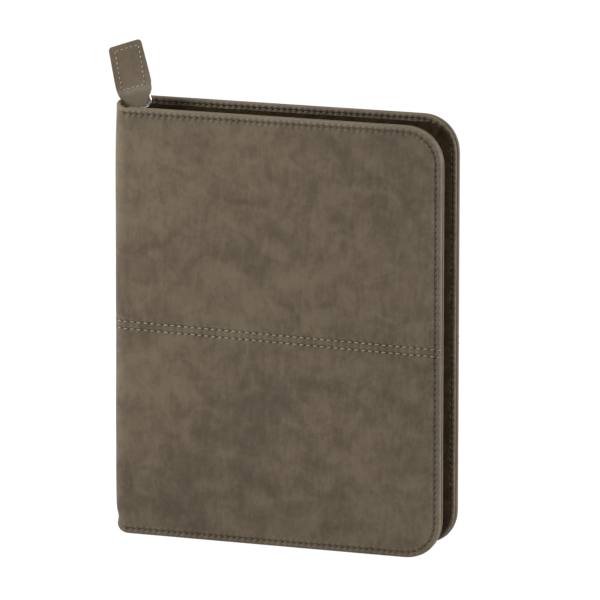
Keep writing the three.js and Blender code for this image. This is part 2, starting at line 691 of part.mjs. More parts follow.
function spineLining() {
  const x0 = SPINE_SKIN + SPINE_BOARD + 2 * GLUE;
  const half = HALF - SPINE_BOARD_SIDE_DROP - SPINE_LINING_DROP;
  const drop = SPINE_BOARD_TOP_DROP + SPINE_LINING_DROP;
  return block(x0, x0 + SPINE_LINING, -half, half, drop, HEIGHT - drop);
}

// Ring plate: a domed steel cover with a notch for each half ring and open ends for the levers
function domeShape(halfWidth, height, x0) {
  const radius = (halfWidth * halfWidth + height * height) / (2 * height);
  const cx = x0 + height - radius;
  const angle = Math.asin(halfWidth / radius);
  const shape = new THREE.Shape();
  shape.absarc(cx, 0, radius, -angle, angle, false);
  return shape;
}

function ringPlate() {
  const half = PLATE_WIDTH / 2;
  const z0 = MID_Z - PLATE_LENGTH / 2;
  const z1 = MID_Z + PLATE_LENGTH / 2;
  const dome = prism(domeShape(half, PLATE_HEIGHT, PLATE_BASE_X), z0, z1, 5);
  const hollow = domeShape(half - PLATE_WALL, PLATE_HEIGHT - PLATE_WALL, PLATE_BASE_X);
  const tools = [prism(hollow, z0 - 1, z1 + 1, 5)];
  const base = half - PLATE_WALL;
  tools.push(block(PLATE_BASE_X - 1, PLATE_BASE_X + 0.01, -base, base, z0 - 1, z1 + 1));
  for (const dz of RING_SPACING) {
    for (const side of [-1, 1]) {
      const [y0, y1] = spanY(side, PLATE_BRIDGE / 2, half + 1);
      const z = MID_Z + dz;
      tools.push(block(PLATE_BASE_X + 0.6, PLATE_TOP_X + 1, y0, y1, z - PLATE_SLOT / 2, z + PLATE_SLOT / 2));
    }
  }
  for (const end of [-1, 1]) {
    const zEnd = MID_Z + (end * PLATE_LENGTH) / 2;
    const reach = LEVER_WIDTH / 2 + SEAT;
    const [n0, n1] = end < 0 ? [zEnd - 1, zEnd + LEVER_NOTCH] : [zEnd - LEVER_NOTCH, zEnd + 1];
    tools.push(block(PLATE_BASE_X - 1, PLATE_TOP_X + 1, -reach, reach, n0, n1));
    const rivetZ = zEnd - end * RIVET_END_DISTANCE;
    tools.push(rod('x', RIVET_SHANK_RADIUS + SEAT, PLATE_BASE_X - 1, PLATE_TOP_X + 1, 0, rivetZ, 10));
  }
  return cut(dome, ...tools);
}

function rivet(end) {
  const z = MID_Z + end * (PLATE_LENGTH / 2 - RIVET_END_DISTANCE);
  const headX = PLATE_TOP_X + SEAT / 3;
  const shank = rod('x', RIVET_SHANK_RADIUS, SPINE_INNER_X + GLUE, headX + GLUE, 0, z, 10);
  const head = rod('x', RIVET_HEAD_RADIUS, headX, headX + RIVET_HEAD, 0, z, 14);
  return join(shank, head);
}

class RingArc extends THREE.Curve {
  constructor(radius, from, to, z) {
    super();
    Object.assign(this, { radius, from, to, z });
  }

  getPoint(t, target = new THREE.Vector3()) {
    const angle = THREE.MathUtils.lerp(this.from, this.to, t);
    return target.set(RING_X + this.radius * Math.cos(angle), this.radius * Math.sin(angle), this.z);
  }
}

function wireSection(sides = 7) {
  const shape = new THREE.Shape();
  for (let i = 0; i < sides; i += 1) {
    const angle = (2 * Math.PI * i) / sides;
    const x = RING_WIRE_RADIUS * Math.cos(angle);
    const y = RING_WIRE_RADIUS * Math.sin(angle);
    if (i === 0) shape.moveTo(x, y);
    else shape.lineTo(x, y);
  }
  shape.closePath();
  return shape;
}

// Half of every ring with the hinged blade under the plate that carries them
function halfRings(side) {
  const bladeX = PLATE_BASE_X + BLADE_RISE;
  const [y0, y1] = spanY(side, BLADE_GAP / 2, BLADE_GAP / 2 + BLADE_WIDTH);
  const z0 = MID_Z - BLADE_LENGTH / 2;
  const parts = [block(bladeX, bladeX + BLADE_THICKNESS, y0, y1, z0, z0 + BLADE_LENGTH)];
  const tip = RING_TIP_GAP / 2 / RING_RADIUS;
  const root = THREE.MathUtils.degToRad(RING_ROOT_ANGLE);
  for (const dz of RING_SPACING) {
    const path = new RingArc(RING_RADIUS, side * tip, side * root, MID_Z + dz);
    parts.push(new THREE.ExtrudeGeometry(wireSection(), { steps: 8, extrudePath: path, bevelEnabled: false }));
  }
  return join(...parts);
}

// Opening lever: a knuckle between the plate's ends with a tongue that stands clear of the spine
const leverX = PLATE_BASE_X + LEVER_BASE;

function lever(end) {
  const z = MID_Z + end * (PLATE_LENGTH / 2 - LEVER_NOTCH / 2);
  const half = LEVER_WIDTH / 2;
  const knuckle = rod('y', LEVER_KNUCKLE_RADIUS, -half, half, leverX, z, 10);
  const shape = new THREE.Shape();
  const t = LEVER_THICKNESS / 2;
  shape.moveTo(0, -t);
  shape.lineTo(LEVER_REACH * LEVER_BEND, -t + LEVER_BEND_LOW);
  shape.lineTo(LEVER_REACH, -t + LEVER_RISE);
  shape.lineTo(LEVER_REACH, t + LEVER_RISE);
  shape.lineTo(LEVER_REACH * LEVER_BEND, t + LEVER_BEND_HIGH);
  shape.lineTo(0, t);
  const tongue = new THREE.ExtrudeGeometry(shape, { depth: LEVER_WIDTH, bevelEnabled: false });
  // The shape's x runs away from the plate's end, its y away from the spine
  tongue.translate(0, 0, -half).rotateX(Math.PI / 2).rotateY(-Math.PI / 2);
  if (end < 0) tongue.rotateX(Math.PI);
  tongue.scale(-1, 1, 1);
  flip(tongue);
  return join(knuckle, tongue.translate(leverX, 0, z));
}

// Turns a geometry's faces the other way, after a mirror
function flip(geometry) {
  const position = geometry.attributes.position;
  for (let i = 0; i < position.count; i += 3) {
    const a = new THREE.Vector3().fromBufferAttribute(position, i + 1);
    const b = new THREE.Vector3().fromBufferAttribute(position, i + 2);
    position.setXYZ(i + 1, b.x, b.y, b.z);
    position.setXYZ(i + 2, a.x, a.y, a.z);
  }
  return geometry;
}

// A page-sized sheet or block, punched for the rings
function punched(shape, side, from, to) {
  for (const dz of RING_SPACING) {
    const hole = new THREE.Path();
    hole.absarc(RING_X + PAGE_HOLE_OFFSET, MID_Z + dz, PAGE_HOLE_RADIUS, 0, 2 * Math.PI, true);
    shape.holes.push(hole);
  }
  const [y0, y1] = spanY(side, from, to);
  return panel(shape, y0, y1, 0, 5);
}

function pageBlock(side) {
  const low = side > 0 ? PAGE_HALF_GAP : PAGE_HALF_GAP + DIVIDER + SHEET_GAP;
  const shape = roundedRect(PAGE_X, PAGE_X + PAGE_WIDTH, PAGE_LOW_Z, PAGE_LOW_Z + PAGE_HEIGHT, PAGE_CORNER_RADIUS);
  return punched(shape, side, low, PAGE_HALF_GAP + PAGE_STACK - DIVIDER - SHEET_GAP);
}

// A divider with an index tab past the page edge, which starts at a share of the page's height
function divider(side, share) {
  const tabZ = PAGE_LOW_Z + share * PAGE_HEIGHT;
  const x1 = PAGE_X + PAGE_WIDTH;
  const z1 = PAGE_LOW_Z + PAGE_HEIGHT;
  const shape = new THREE.Shape();
  shape.moveTo(PAGE_X, PAGE_LOW_Z);
  shape.lineTo(x1, PAGE_LOW_Z);
  shape.lineTo(x1, tabZ);
  shape.lineTo(x1 + DIVIDER_TAB_REACH, tabZ + DIVIDER_TAB_CHAMFER);
  shape.lineTo(x1 + DIVIDER_TAB_REACH, tabZ + DIVIDER_TAB_HEIGHT - DIVIDER_TAB_CHAMFER);
  shape.lineTo(x1, tabZ + DIVIDER_TAB_HEIGHT);
  shape.lineTo(x1, z1);
  shape.lineTo(PAGE_X, z1);
  return punched(shape, side, PAGE_HALF_GAP + PAGE_STACK - DIVIDER, PAGE_HALF_GAP + PAGE_STACK);
}

// A narrow plastic page finder that snaps on the rings
function pageMarker() {
  const x1 = PAGE_X + 2 * PAGE_HOLE_OFFSET + MARKER_PAST_HOLES;
  const shape = roundedRect(PAGE_X, x1, PAGE_LOW_Z, PAGE_LOW_Z + PAGE_HEIGHT, PAGE_CORNER_RADIUS);
  return punched(shape, -1, PAGE_HALF_GAP, PAGE_HALF_GAP + DIVIDER);
}

// A pocket sewn on a cover's facing on three sides, open at the top
function pocket(side, x, z, width, height, layer = 0) {
  const depth = POCKET_WALL + POCKET_SLOT;
  const high = INNER_Y - GLUE - layer * (depth + GLUE);
  const low = high - depth;
  const [y0, y1] = spanY(side, low, high);
  const [s0, s1] = spanY(side, low + POCKET_WALL, high + 1);
  const body = panel(roundedRect(x, x + width, z, z + height, POCKET_CORNER_RADIUS), y0, y1, 0, 3);
  const slot = block(x + POCKET_RIM, x + width - POCKET_RIM, s0, s1, z + POCKET_RIM, z + height + 1);
  return cut(body, slot);
}

function penLoop() {
  const outer = PEN_LOOP_BORE + 2 * PEN_LOOP_BAND;
  const x1 = WIDTH - GUSSET_INSET - TAPE - PEN_LOOP_TO_GUSSET;
  const x0 = x1 - outer;
  const y1 = INNER_Y - 2 * GLUE - TAPE_FLANGE_THICKNESS;
  const y0 = y1 - outer;
  const shape = roundedRect(x0, x1, y0, y1, PEN_LOOP_CORNER + PEN_LOOP_BAND);
  const band = PEN_LOOP_BAND;
  shape.holes.push(roundedRect(x0 + band, x1 - band, y0 + band, y1 - band, PEN_LOOP_CORNER));
  return prism(shape, PEN_LOOP_Z, PEN_LOOP_Z + PEN_LOOP_LENGTH, 2);
}

// Assembly
const planner = new THREE.Group();

function add(name, geometry, material, parent = planner) {
  const mesh = new THREE.Mesh(geometry, materials[material].clone());
  mesh.name = name;
  parent.add(mesh);
  return mesh;
}

for (const [side, name] of [[-1, 'front'], [1, 'back']]) {
  add(`${name}_cover_skin`, coverSkin(side), 'leather');
  add(`${name}_cover_board`, coverBoard(side), 'board');
  add(`${name}_cover_facing`, coverFacing(side), 'leather');
  add(`${name}_zip_tape`, zipTape(side), 'tape');
  add(`${name}_zip_teeth`, zipTeeth(side), 'teeth');
  add(`${name}_bottom_stop`, zipStop(side), 'nickel');
  add(`${name}_pages`, pageBlock(side), 'paper');
  add(`${name}_half_rings`, halfRings(side), 'nickel');
}
add('back_divider', divider(1, BACK_DIVIDER_SHARE), 'card');
add('front_divider', divider(-1, FRONT_DIVIDER_SHARE), 'card');
add('page_marker', pageMarker(), 'plastic');

add('spine_skin', spineSkin(), 'leather');
add('spine_board', spineBoard(), 'board');
add('spine_lining', spineLining(), 'lining');
add('ring_plate', ringPlate(), 'nickel');
add('upper_rivet', rivet(1), 'nickel');
add('lower_rivet', rivet(-1), 'nickel');
add('upper_lever', lever(1), 'nickel');
add('lower_lever', lever(-1), 'nickel');

const cardX = WIDTH - CARD_POCKET_TO_FORE_EDGE - CARD_POCKET_WIDTH;
const cardZ = HEIGHT - CARD_POCKET_TO_TOP - CARD_POCKET_HEIGHT;
for (const layer of [0, 1, 2]) {
  const z = cardZ - layer * CARD_POCKET_STEP;
  add(`card_pocket_${layer + 1}`, pocket(-1, cardX, z, CARD_POCKET_WIDTH, CARD_POCKET_HEIGHT, layer), 'lining');
}
const slipWidth = WIDTH - SLIP_POCKET_TO_FORE_EDGE - SLIP_POCKET_X;
add('slip_pocket', pocket(-1, SLIP_POCKET_X, POCKET_LOW_Z, slipWidth, SLIP_POCKET_HEIGHT), 'lining');
const padWidth = WIDTH - NOTEPAD_POCKET_TO_FORE_EDGE - NOTEPAD_POCKET_X;
const padHeight = PAGE_HEIGHT - NOTEPAD_POCKET_UNDER_PAGE;
add('notepad_pocket', pocket(1, NOTEPAD_POCKET_X, POCKET_LOW_Z, padWidth, padHeight), 'lining');
add('pen_loop', penLoop(), 'elastic');

// The slider, its ring and the pull tab, each hung on the one before
add('zip_slider', zipSlider(), 'nickel');
const degrees = THREE.MathUtils.degToRad;
const ringGroup = new THREE.Group();
ringGroup.position.set(SLIDER_X, CHAIN_Y, crownZ);
ringGroup.rotation.set(degrees(RING_LEAN), degrees(PULL_ROLL), 0);
planner.add(ringGroup);
add('pull_ring', pullRing(), 'nickel', ringGroup);
const tabGroup = new THREE.Group();
tabGroup.position.copy(new THREE.Vector3(0, 0, PULL_RING_HEIGHT).applyEuler(ringGroup.rotation)).add(ringGroup.position);
tabGroup.rotation.set(degrees(TAB_LEAN), degrees(PULL_ROLL), 0);
planner.add(tabGroup);
add('pull_tab_front', tabFront(), 'leather', tabGroup);
add('pull_tab_back', tabBack(), 'leather', tabGroup);

// The origin is the middle of the box that the planner fills, on the surface that it stands on
planner.updateMatrixWorld(true);
const box = new THREE.Box3().setFromObject(planner, true);
planner.position.set(-(box.min.x + box.max.x) / 2, -(box.min.y + box.max.y) / 2, -box.min.z);

export default planner;
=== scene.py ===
import json
import math

import bmesh
import bpy
from mathutils import Matrix, Vector, noise

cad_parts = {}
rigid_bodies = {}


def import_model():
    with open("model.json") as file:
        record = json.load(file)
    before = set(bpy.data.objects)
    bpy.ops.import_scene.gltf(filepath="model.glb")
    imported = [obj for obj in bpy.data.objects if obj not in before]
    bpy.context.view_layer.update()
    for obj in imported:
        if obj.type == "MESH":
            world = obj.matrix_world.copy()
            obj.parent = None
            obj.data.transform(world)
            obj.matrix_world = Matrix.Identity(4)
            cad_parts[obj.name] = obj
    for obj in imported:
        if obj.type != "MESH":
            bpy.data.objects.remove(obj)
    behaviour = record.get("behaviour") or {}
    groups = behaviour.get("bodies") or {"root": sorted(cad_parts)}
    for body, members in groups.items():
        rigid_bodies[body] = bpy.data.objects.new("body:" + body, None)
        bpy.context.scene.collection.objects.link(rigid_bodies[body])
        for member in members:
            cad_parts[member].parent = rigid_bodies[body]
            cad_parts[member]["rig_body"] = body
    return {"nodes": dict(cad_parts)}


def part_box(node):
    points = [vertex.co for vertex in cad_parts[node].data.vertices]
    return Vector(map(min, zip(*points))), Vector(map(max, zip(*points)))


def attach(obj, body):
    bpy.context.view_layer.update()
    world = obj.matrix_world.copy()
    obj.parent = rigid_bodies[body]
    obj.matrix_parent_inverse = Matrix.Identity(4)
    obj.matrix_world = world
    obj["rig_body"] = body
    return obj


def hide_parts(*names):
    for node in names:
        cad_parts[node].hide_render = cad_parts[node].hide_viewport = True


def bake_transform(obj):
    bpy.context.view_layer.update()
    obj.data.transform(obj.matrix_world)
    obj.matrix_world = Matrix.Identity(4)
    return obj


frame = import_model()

# Sizes in millimetres, in the planner's own axes: X from the spine's outer face to the fore-edge,
# Y from the middle of the thickness to the back cover, Z up from the bottom edge.
MM = 0.001
SPINE_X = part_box("spine_skin")[0].x
WIDTH = (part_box("front_cover_skin")[1].x - SPINE_X) / MM
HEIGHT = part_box("spine_skin")[1].z / MM
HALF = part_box("back_cover_skin")[1].y / MM
CORNER = 20.0

# Leatherette: how it turns over the edges and where it is sewn
SPINE_CURVE = 7.5
SPINE_OUT = 1.2
COVER_FULLNESS = {-1: 0.35, 1: 0.5}
FRONT_TOP_DROP = 1.2
SPINE_LEAN = 0.5
FORE_EDGE_OUT = 0.7
EDGE_ROLL = 1.45
TURN_IN = 4.0
HIDE = 1.0
SEAM_INSET = 3.1
SEAM_PITCH = 3.45
SEAM_START = 3.5
INNER_SEAM_INSET = 2.9
ROW_PITCH = 3.9
ROW_UPPER = (120.1, 117.35)
ROW_LOWER = (116.1, 113.4)
FACING_EDGES = {-1: -0.8, 1: 0.1}
FACING_SEAM_START = 9.0
FACING_FOLD_X = 15.0
FACING_LOW_X = 6.7
FACING_ROLL = 0.9
FACING_Y = 12.0

# Zip
TAPE_INSET = 8.5
TAPE_FOOT_OUT = 4.5
TAPE_FOOT_OUT_FORE_EDGE = 5.4
TAPE_START_X = 6.8
TAPE_FLANGE = 6.0
CHAIN_Y = -2.0
TOOTH_PITCH = 2.5
CHAIN_START_X = 16.6
CHAIN_END_X = 11.6

# Ring mechanism and pages
RING_X = 14.75
RING_RADIUS = 8.0
WIRE = 1.0
RING_OFFSETS = (-73, -54, -35, 35, 54, 73)
PLATE_BASE_X = 4.5

# Pull tab
TAB_ORIGIN = (-79.7294, -3.5151, 243.5278)
TAB_LEAN = -10.0
TAB_ROLL = -16.5
TAB_HALF = 9.45
TAB_TOP = 28.75
TAB_SLANT = 0.07
TAB_DRIFT = 0.03
TAB_SHIFT = -1.2
TAB_SEAM_SHIFT = 1.1

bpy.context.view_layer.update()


# Node helpers

def add_node(tree, kind, inputs=None, **settings):
    made = tree.nodes.new(kind)
    for key, value in settings.items():
        setattr(made, key, value)
    for key, value in (inputs or {}).items():
        made.inputs[key].default_value = value
    return made


def new_group(name, inputs, outputs):
    """A shader node group with float or vector sockets, and its two end nodes."""
    tree = bpy.data.node_groups.new(name, "ShaderNodeTree")
    for label, kind in inputs:
        tree.interface.new_socket(name=label, in_out="INPUT", socket_type=kind)
    for label, kind in outputs:
        tree.interface.new_socket(name=label, in_out="OUTPUT", socket_type=kind)
    return tree, tree.nodes.new("NodeGroupInput"), tree.nodes.new("NodeGroupOutput")


def maths(tree, operation, a, b=None):
    made = tree.nodes.new("ShaderNodeMath")
    made.operation = operation
    for socket, value in zip(made.inputs, (a, b)):
        if value is None:
            continue
        if isinstance(value, (int, float)):
            socket.default_value = value
        else:
            tree.links.new(value, socket)
    return made.outputs[0]


def ramp(tree, value, low, high, out_low=0.0, out_high=1.0):
    """Maps value from low..high to out_low..out_high, smoothly, and holds it outside."""
    made = add_node(tree, "ShaderNodeMapRange", interpolation_type="SMOOTHSTEP")
    for key, number in (("From Min", low), ("From Max", high), ("To Min", out_low), ("To Max", out_high)):
        made.inputs[key].default_value = number
    tree.links.new(value, made.inputs["Value"])
    return made.outputs["Result"]


def blend_colour(tree, factor, a, b, mode="MIX"):
    made = add_node(tree, "ShaderNodeMix", data_type="RGBA", blend_type=mode)
    for socket, value in ((made.inputs[0], factor), (made.inputs[6], a), (made.inputs[7], b)):
        if hasattr(value, "is_output"):
            tree.links.new(value, socket)
        elif isinstance(value, (int, float)):
            socket.default_value = value
        else:
            socket.default_value = (*value, 1.0)
    return made.outputs[2]


def noise_node(tree, vector, scale, detail=3.0, rough=0.55, distort=0.0):
    made = add_node(tree, "ShaderNodeTexNoise", {"Scale": scale, "Detail": detail, "Roughness": rough,
                                                 "Distortion": distort})
    tree.links.new(vector, made.inputs["Vector"])
    return made.outputs["Fac"]


def stretched(tree, vector, scale):
    made = add_node(tree, "ShaderNodeMapping", {"Scale": scale})
    tree.links.new(vector, made.inputs["Vector"])
    return made.outputs["Vector"]


def scaled(tree, vector, factor):
    """The vector times a number, or times the value of a socket."""
    made = add_node(tree, "ShaderNodeVectorMath", operation="SCALE")
    tree.links.new(vector, made.inputs[0])
    if isinstance(factor, (int, float)):
        made.inputs["Scale"].default_value = factor
    else:
        tree.links.new(factor, made.inputs["Scale"])
    return made.outputs[0]


def weighted(tree, *terms):
    """The sum of (value, weight) terms."""
    total = None
    for value, weight in terms:
        part = maths(tree, "MULTIPLY", value, weight)
        total = part if total is None else maths(tree, "ADD", total, part)
    return total


def make_clouding():
    """Soft light and dark patches of a brushed finish: wide clouds, smaller smudges, rubbed marks."""
    tree, start, end = new_group("Clouding", [("Vector", "NodeSocketVector"), ("Size", "NodeSocketFloat")],
                                 [("Tone", "NodeSocketFloat"), ("Patch", "NodeSocketFloat")])
    vector = scaled(tree, start.outputs["Vector"], start.outputs["Size"])
    wide = noise_node(tree, stretched(tree, vector, (0.9, 1, 1.0)), 16, 3.0, 0.55, 0.3)
    smudge = noise_node(tree, stretched(tree, vector, (0.9, 1, 1.1)), 70, 5.0, 0.66, 0.4)
    rubbed = noise_node(tree, stretched(tree, vector, (1.7, 1, 0.6)), 210, 3.0, 0.6, 0.3)
    fleck = noise_node(tree, vector, 1500, 2.0, 0.6)
    total = weighted(tree, (wide, 0.32), (smudge, 0.38), (rubbed, 0.20), (fleck, 0.10))
    tree.links.new(ramp(tree, total, 0.38, 0.62), end.inputs["Tone"])
    tree.links.new(ramp(tree, smudge, 0.35, 0.65), end.inputs["Patch"])
    return tree


def make_grain():
    """Fine leather grain: small rounded cells with soft creases between them."""
    tree, start, end = new_group("Grain", [("Vector", "NodeSocketVector"), ("Cells", "NodeSocketFloat")],
                                 [("Height", "NodeSocketFloat")])
    bent = noise_node(tree, start.outputs["Vector"], 420, 2.0)
    shifted = add_node(tree, "ShaderNodeVectorMath", operation="ADD")
    tree.links.new(start.outputs["Vector"], shifted.inputs[0])
    tree.links.new(scaled(tree, bent, 0.6 * MM), shifted.inputs[1])
    cells = add_node(tree, "ShaderNodeTexVoronoi", {"Randomness": 1.0}, feature="SMOOTH_F1")
    tree.links.new(shifted.outputs[0], cells.inputs["Vector"])
    tree.links.new(start.outputs["Cells"], cells.inputs["Scale"])
    fine = noise_node(tree, start.outputs["Vector"], 2600, 3.0, 0.6)
    tree.links.new(weighted(tree, (fine, 0.6), (cells.outputs[0], -0.7)), end.inputs["Height"])
    return tree


def make_weave():
    """A plain weave seen across X, Y and Z, with its threads at the given pitch."""
    tree, start, end = new_group("Weave", [("Vector", "NodeSocketVector"), ("Threads", "NodeSocketFloat")],
                                 [("Height", "NodeSocketFloat")])
    parts = add_node(tree, "ShaderNodeSeparateXYZ")
    tree.links.new(scaled(tree, start.outputs["Vector"], start.outputs["Threads"]), parts.inputs[0])
    across = maths(tree, "ADD", parts.outputs[0], parts.outputs[1])
    warp = maths(tree, "SINE", maths(tree, "MULTIPLY", across, 2 * math.pi))
    weft = maths(tree, "SINE", maths(tree, "MULTIPLY", parts.outputs[2], 2 * math.pi))
    lint = noise_node(tree, start.outputs["Vector"], 900, 3.0)
    crossing = maths(tree, "MULTIPLY", warp, weft)
    tree.links.new(weighted(tree, (crossing, 0.5), (lint, 1.0)), end.inputs["Height"])
    return tree


def make_seam_marks():
    """Where a sewn line draws the leather in: the needle's pits, darkened with painted shade, and the
    leather's swelling between them.
    """
    number = "NodeSocketFloat"
    tree, start, end = new_group("Seam marks", [("Inset", number), ("Along", number)],
                                 [("Hole shade", number), ("Height", number), ("Border wear and highlight", number)])
    inset, along = start.outputs["Inset"], start.outputs["Along"]
    phase = maths(tree, "FRACT", along)
    from_hole = maths(tree, "MINIMUM", phase, maths(tree, "SUBTRACT", 1.0, phase))
    sewn = ramp(tree, along, 0.0, 0.6)
    off_line = maths(tree, "ABSOLUTE", maths(tree, "SUBTRACT", inset, SEAM_INSET))
    near = ramp(tree, from_hole, 0.13, 0.27, 1.0, 0.1)
    hole_pits_and_shade = maths(tree, "MULTIPLY", near, ramp(tree, off_line, 0.25, 0.72, 1.0, 0.0))
    hole_pits_and_shade = maths(tree, "MULTIPLY", hole_pits_and_shade, sewn)
    swell = maths(tree, "MULTIPLY", ramp(tree, from_hole, 0.05, 0.4), ramp(tree, off_line, 0.5, 0.9))
    swell = maths(tree, "MULTIPLY", swell, ramp(tree, off_line, 1.2, 2.6, 1.0, 0.0))
    height = weighted(tree, (maths(tree, "MULTIPLY", swell, sewn), 1.1), (hole_pits_and_shade, -1.0))
    # The band between the seam and the edge that takes the paler rim colour: partly worn, partly painted
    # highlight.
    border = ramp(tree, inset, SEAM_INSET - 0.2, SEAM_INSET - 1.4)
    for label, value in (("Hole shade", hole_pits_and_shade), ("Height", height), ("Border wear and highlight", border)):
        tree.links.new(value, end.inputs[label])
    return tree


SEAM_MARKS = make_seam_marks()
CLOUDING = make_clouding()
GRAIN = make_grain()
WEAVE = make_weave()


def use_group(tree, group, vector, **values):
    made = add_node(tree, "ShaderNodeGroup", node_tree=group)
    tree.links.new(vector, made.inputs["Vector"])
    for key, value in values.items():
        made.inputs[key].default_value = value
    return made


def new_material(name):
    """A material with its Principled shader and Object coordinates."""
    material = bpy.data.materials.new(name)
    material.use_nodes = True
    tree = material.node_tree
    coordinates = tree.nodes.new("ShaderNodeTexCoord").outputs["Object"]
    return material, tree, tree.nodes["Principled BSDF"], coordinates


def bump(tree, shader, height, strength, distance, under=None):
    made = add_node(tree, "ShaderNodeBump", {"Strength": strength, "Distance": distance})
    tree.links.new(height, made.inputs["Height"])
    if under:
        tree.links.new(under, made.inputs["Normal"])
    tree.links.new(made.outputs["Normal"], shader.inputs["Normal"])
    return made.outputs["Normal"]


def seam_marks(tree, inset, along):
    """The seam marks for two attributes: millimetres in from the edge, and stitches along the seam."""
    made = add_node(tree, "ShaderNodeGroup", node_tree=SEAM_MARKS)
    for attribute, label in ((inset, "Inset"), (along, "Along")):
        source = add_node(tree, "ShaderNodeAttribute", attribute_name=attribute)
        tree.links.new(source.outputs["Fac"], made.inputs[label])
    return made.outputs


def leatherette(name, dark, light, rim=None, rough=(0.52, 0.68), size=1.0, grain=0.2):
    """Brushed, clouded leatherette. rim is the paler colour on the rolled border outside the seam: partly
    rubbed and worn, partly painted highlight of the rolled edge.
    """
    material, tree, shader, coordinates = new_material(name)
    clouds = use_group(tree, CLOUDING, coordinates, Size=size)
    colour = blend_colour(tree, clouds.outputs["Tone"], dark, light)
    height = use_group(tree, GRAIN, coordinates, Cells=2300.0).outputs["Height"]
    grained = bump(tree, shader, height, grain, 0.0004)
    if rim:
        marks = seam_marks(tree, "inset", "along")
        rows = seam_marks(tree, "row_inset", "row_along")
        hole_pits_and_shade = maths(tree, "MAXIMUM", marks["Hole shade"], rows["Hole shade"])
        # Half of the paler rim colour on the border: partly worn, partly painted highlight on the rolled
        # edge.
        colour = blend_colour(tree, maths(tree, "MULTIPLY", marks["Border wear and highlight"], 0.5), colour, rim)
        # Painted shade: the needle holes of the edge seam and the show rows are darkened to a dark brown.
        colour = blend_colour(tree, maths(tree, "MULTIPLY", hole_pits_and_shade, 0.85), colour, HOLE_SHADE_BROWN)
        drawn_in = weighted(tree, (marks["Height"], 1.0), (rows["Height"], 0.6))
        bump(tree, shader, drawn_in, 0.9, 0.00035, grained)
    tree.links.new(colour, shader.inputs["Base Color"])
    tree.links.new(ramp(tree, clouds.outputs["Patch"], 0, 1, rough[1], rough[0]), shader.inputs["Roughness"])
    shader.inputs["Specular IOR Level"].default_value = 0.3
    shader.inputs["Sheen Weight"].default_value = 0.05
    shader.inputs["Sheen Roughness"].default_value = 0.5
    return material


def cloth(name, dark, light, threads, rough=0.9, strength=0.35, specular=0.2):
    material, tree, shader, coordinates = new_material(name)
    height = use_group(tree, WEAVE, coordinates, Threads=threads).outputs["Height"]
    wear_and_highlight = noise_node(tree, coordinates, 150, 3.0)
    # Colour: paler on the weave's raised threads, a painted highlight, and in random patches, partly worn and
    # partly painted highlight, which on the zip tape stands for light on its puckers.
    mix = weighted(tree, (height, 0.45), (wear_and_highlight, 0.55))
    tree.links.new(blend_colour(tree, ramp(tree, mix, 0.25, 0.75), dark, light), shader.inputs["Base Color"])
    tree.links.new(ramp(tree, wear_and_highlight, 0.3, 0.7, rough - 0.06, rough), shader.inputs["Roughness"])
    bump(tree, shader, height, strength, 0.0002)
    shader.inputs["Specular IOR Level"].default_value = specular
    return material


def thread(name, dark, light):
    """Twisted sewing thread, with painted highlight on the crowns of its plies and painted shade between
    them.
    """
    material, tree, shader, coordinates = new_material(name)
    waves = add_node(tree, "ShaderNodeTexWave", {"Scale": 900.0, "Distortion": 1.5},
                     bands_direction="DIAGONAL")
    tree.links.new(coordinates, waves.inputs["Vector"])
    shade = weighted(tree, (waves.outputs["Fac"], 0.6), (noise_node(tree, coordinates, 140), 0.5))
    tree.links.new(blend_colour(tree, ramp(tree, shade, 0.2, 0.9), dark, light), shader.inputs["Base Color"])
    tree.links.new(ramp(tree, shade, 0.2, 0.9, 0.75, 0.6), shader.inputs["Roughness"])
    bump(tree, shader, waves.outputs["Fac"], 0.3, 0.0002)
    return material


def plated(name, colour, rough):
    """Polished plate with faint wipe marks and a few dull spots."""
    material, tree, shader, coordinates = new_material(name)
    wiped = noise_node(tree, stretched(tree, coordinates, (1, 3, 0.6)), 420, 4.0, 0.6)
    tree.links.new(blend_colour(tree, ramp(tree, wiped, 0.3, 0.7), [c * 0.82 for c in colour], colour),
                   shader.inputs["Base Color"])
    tree.links.new(ramp(tree, wiped, 0.3, 0.75, rough, rough + 0.16), shader.inputs["Roughness"])
    shader.inputs["Metallic"].default_value = 1.0
    bump(tree, shader, wiped, 0.06, 0.0003)
    return material


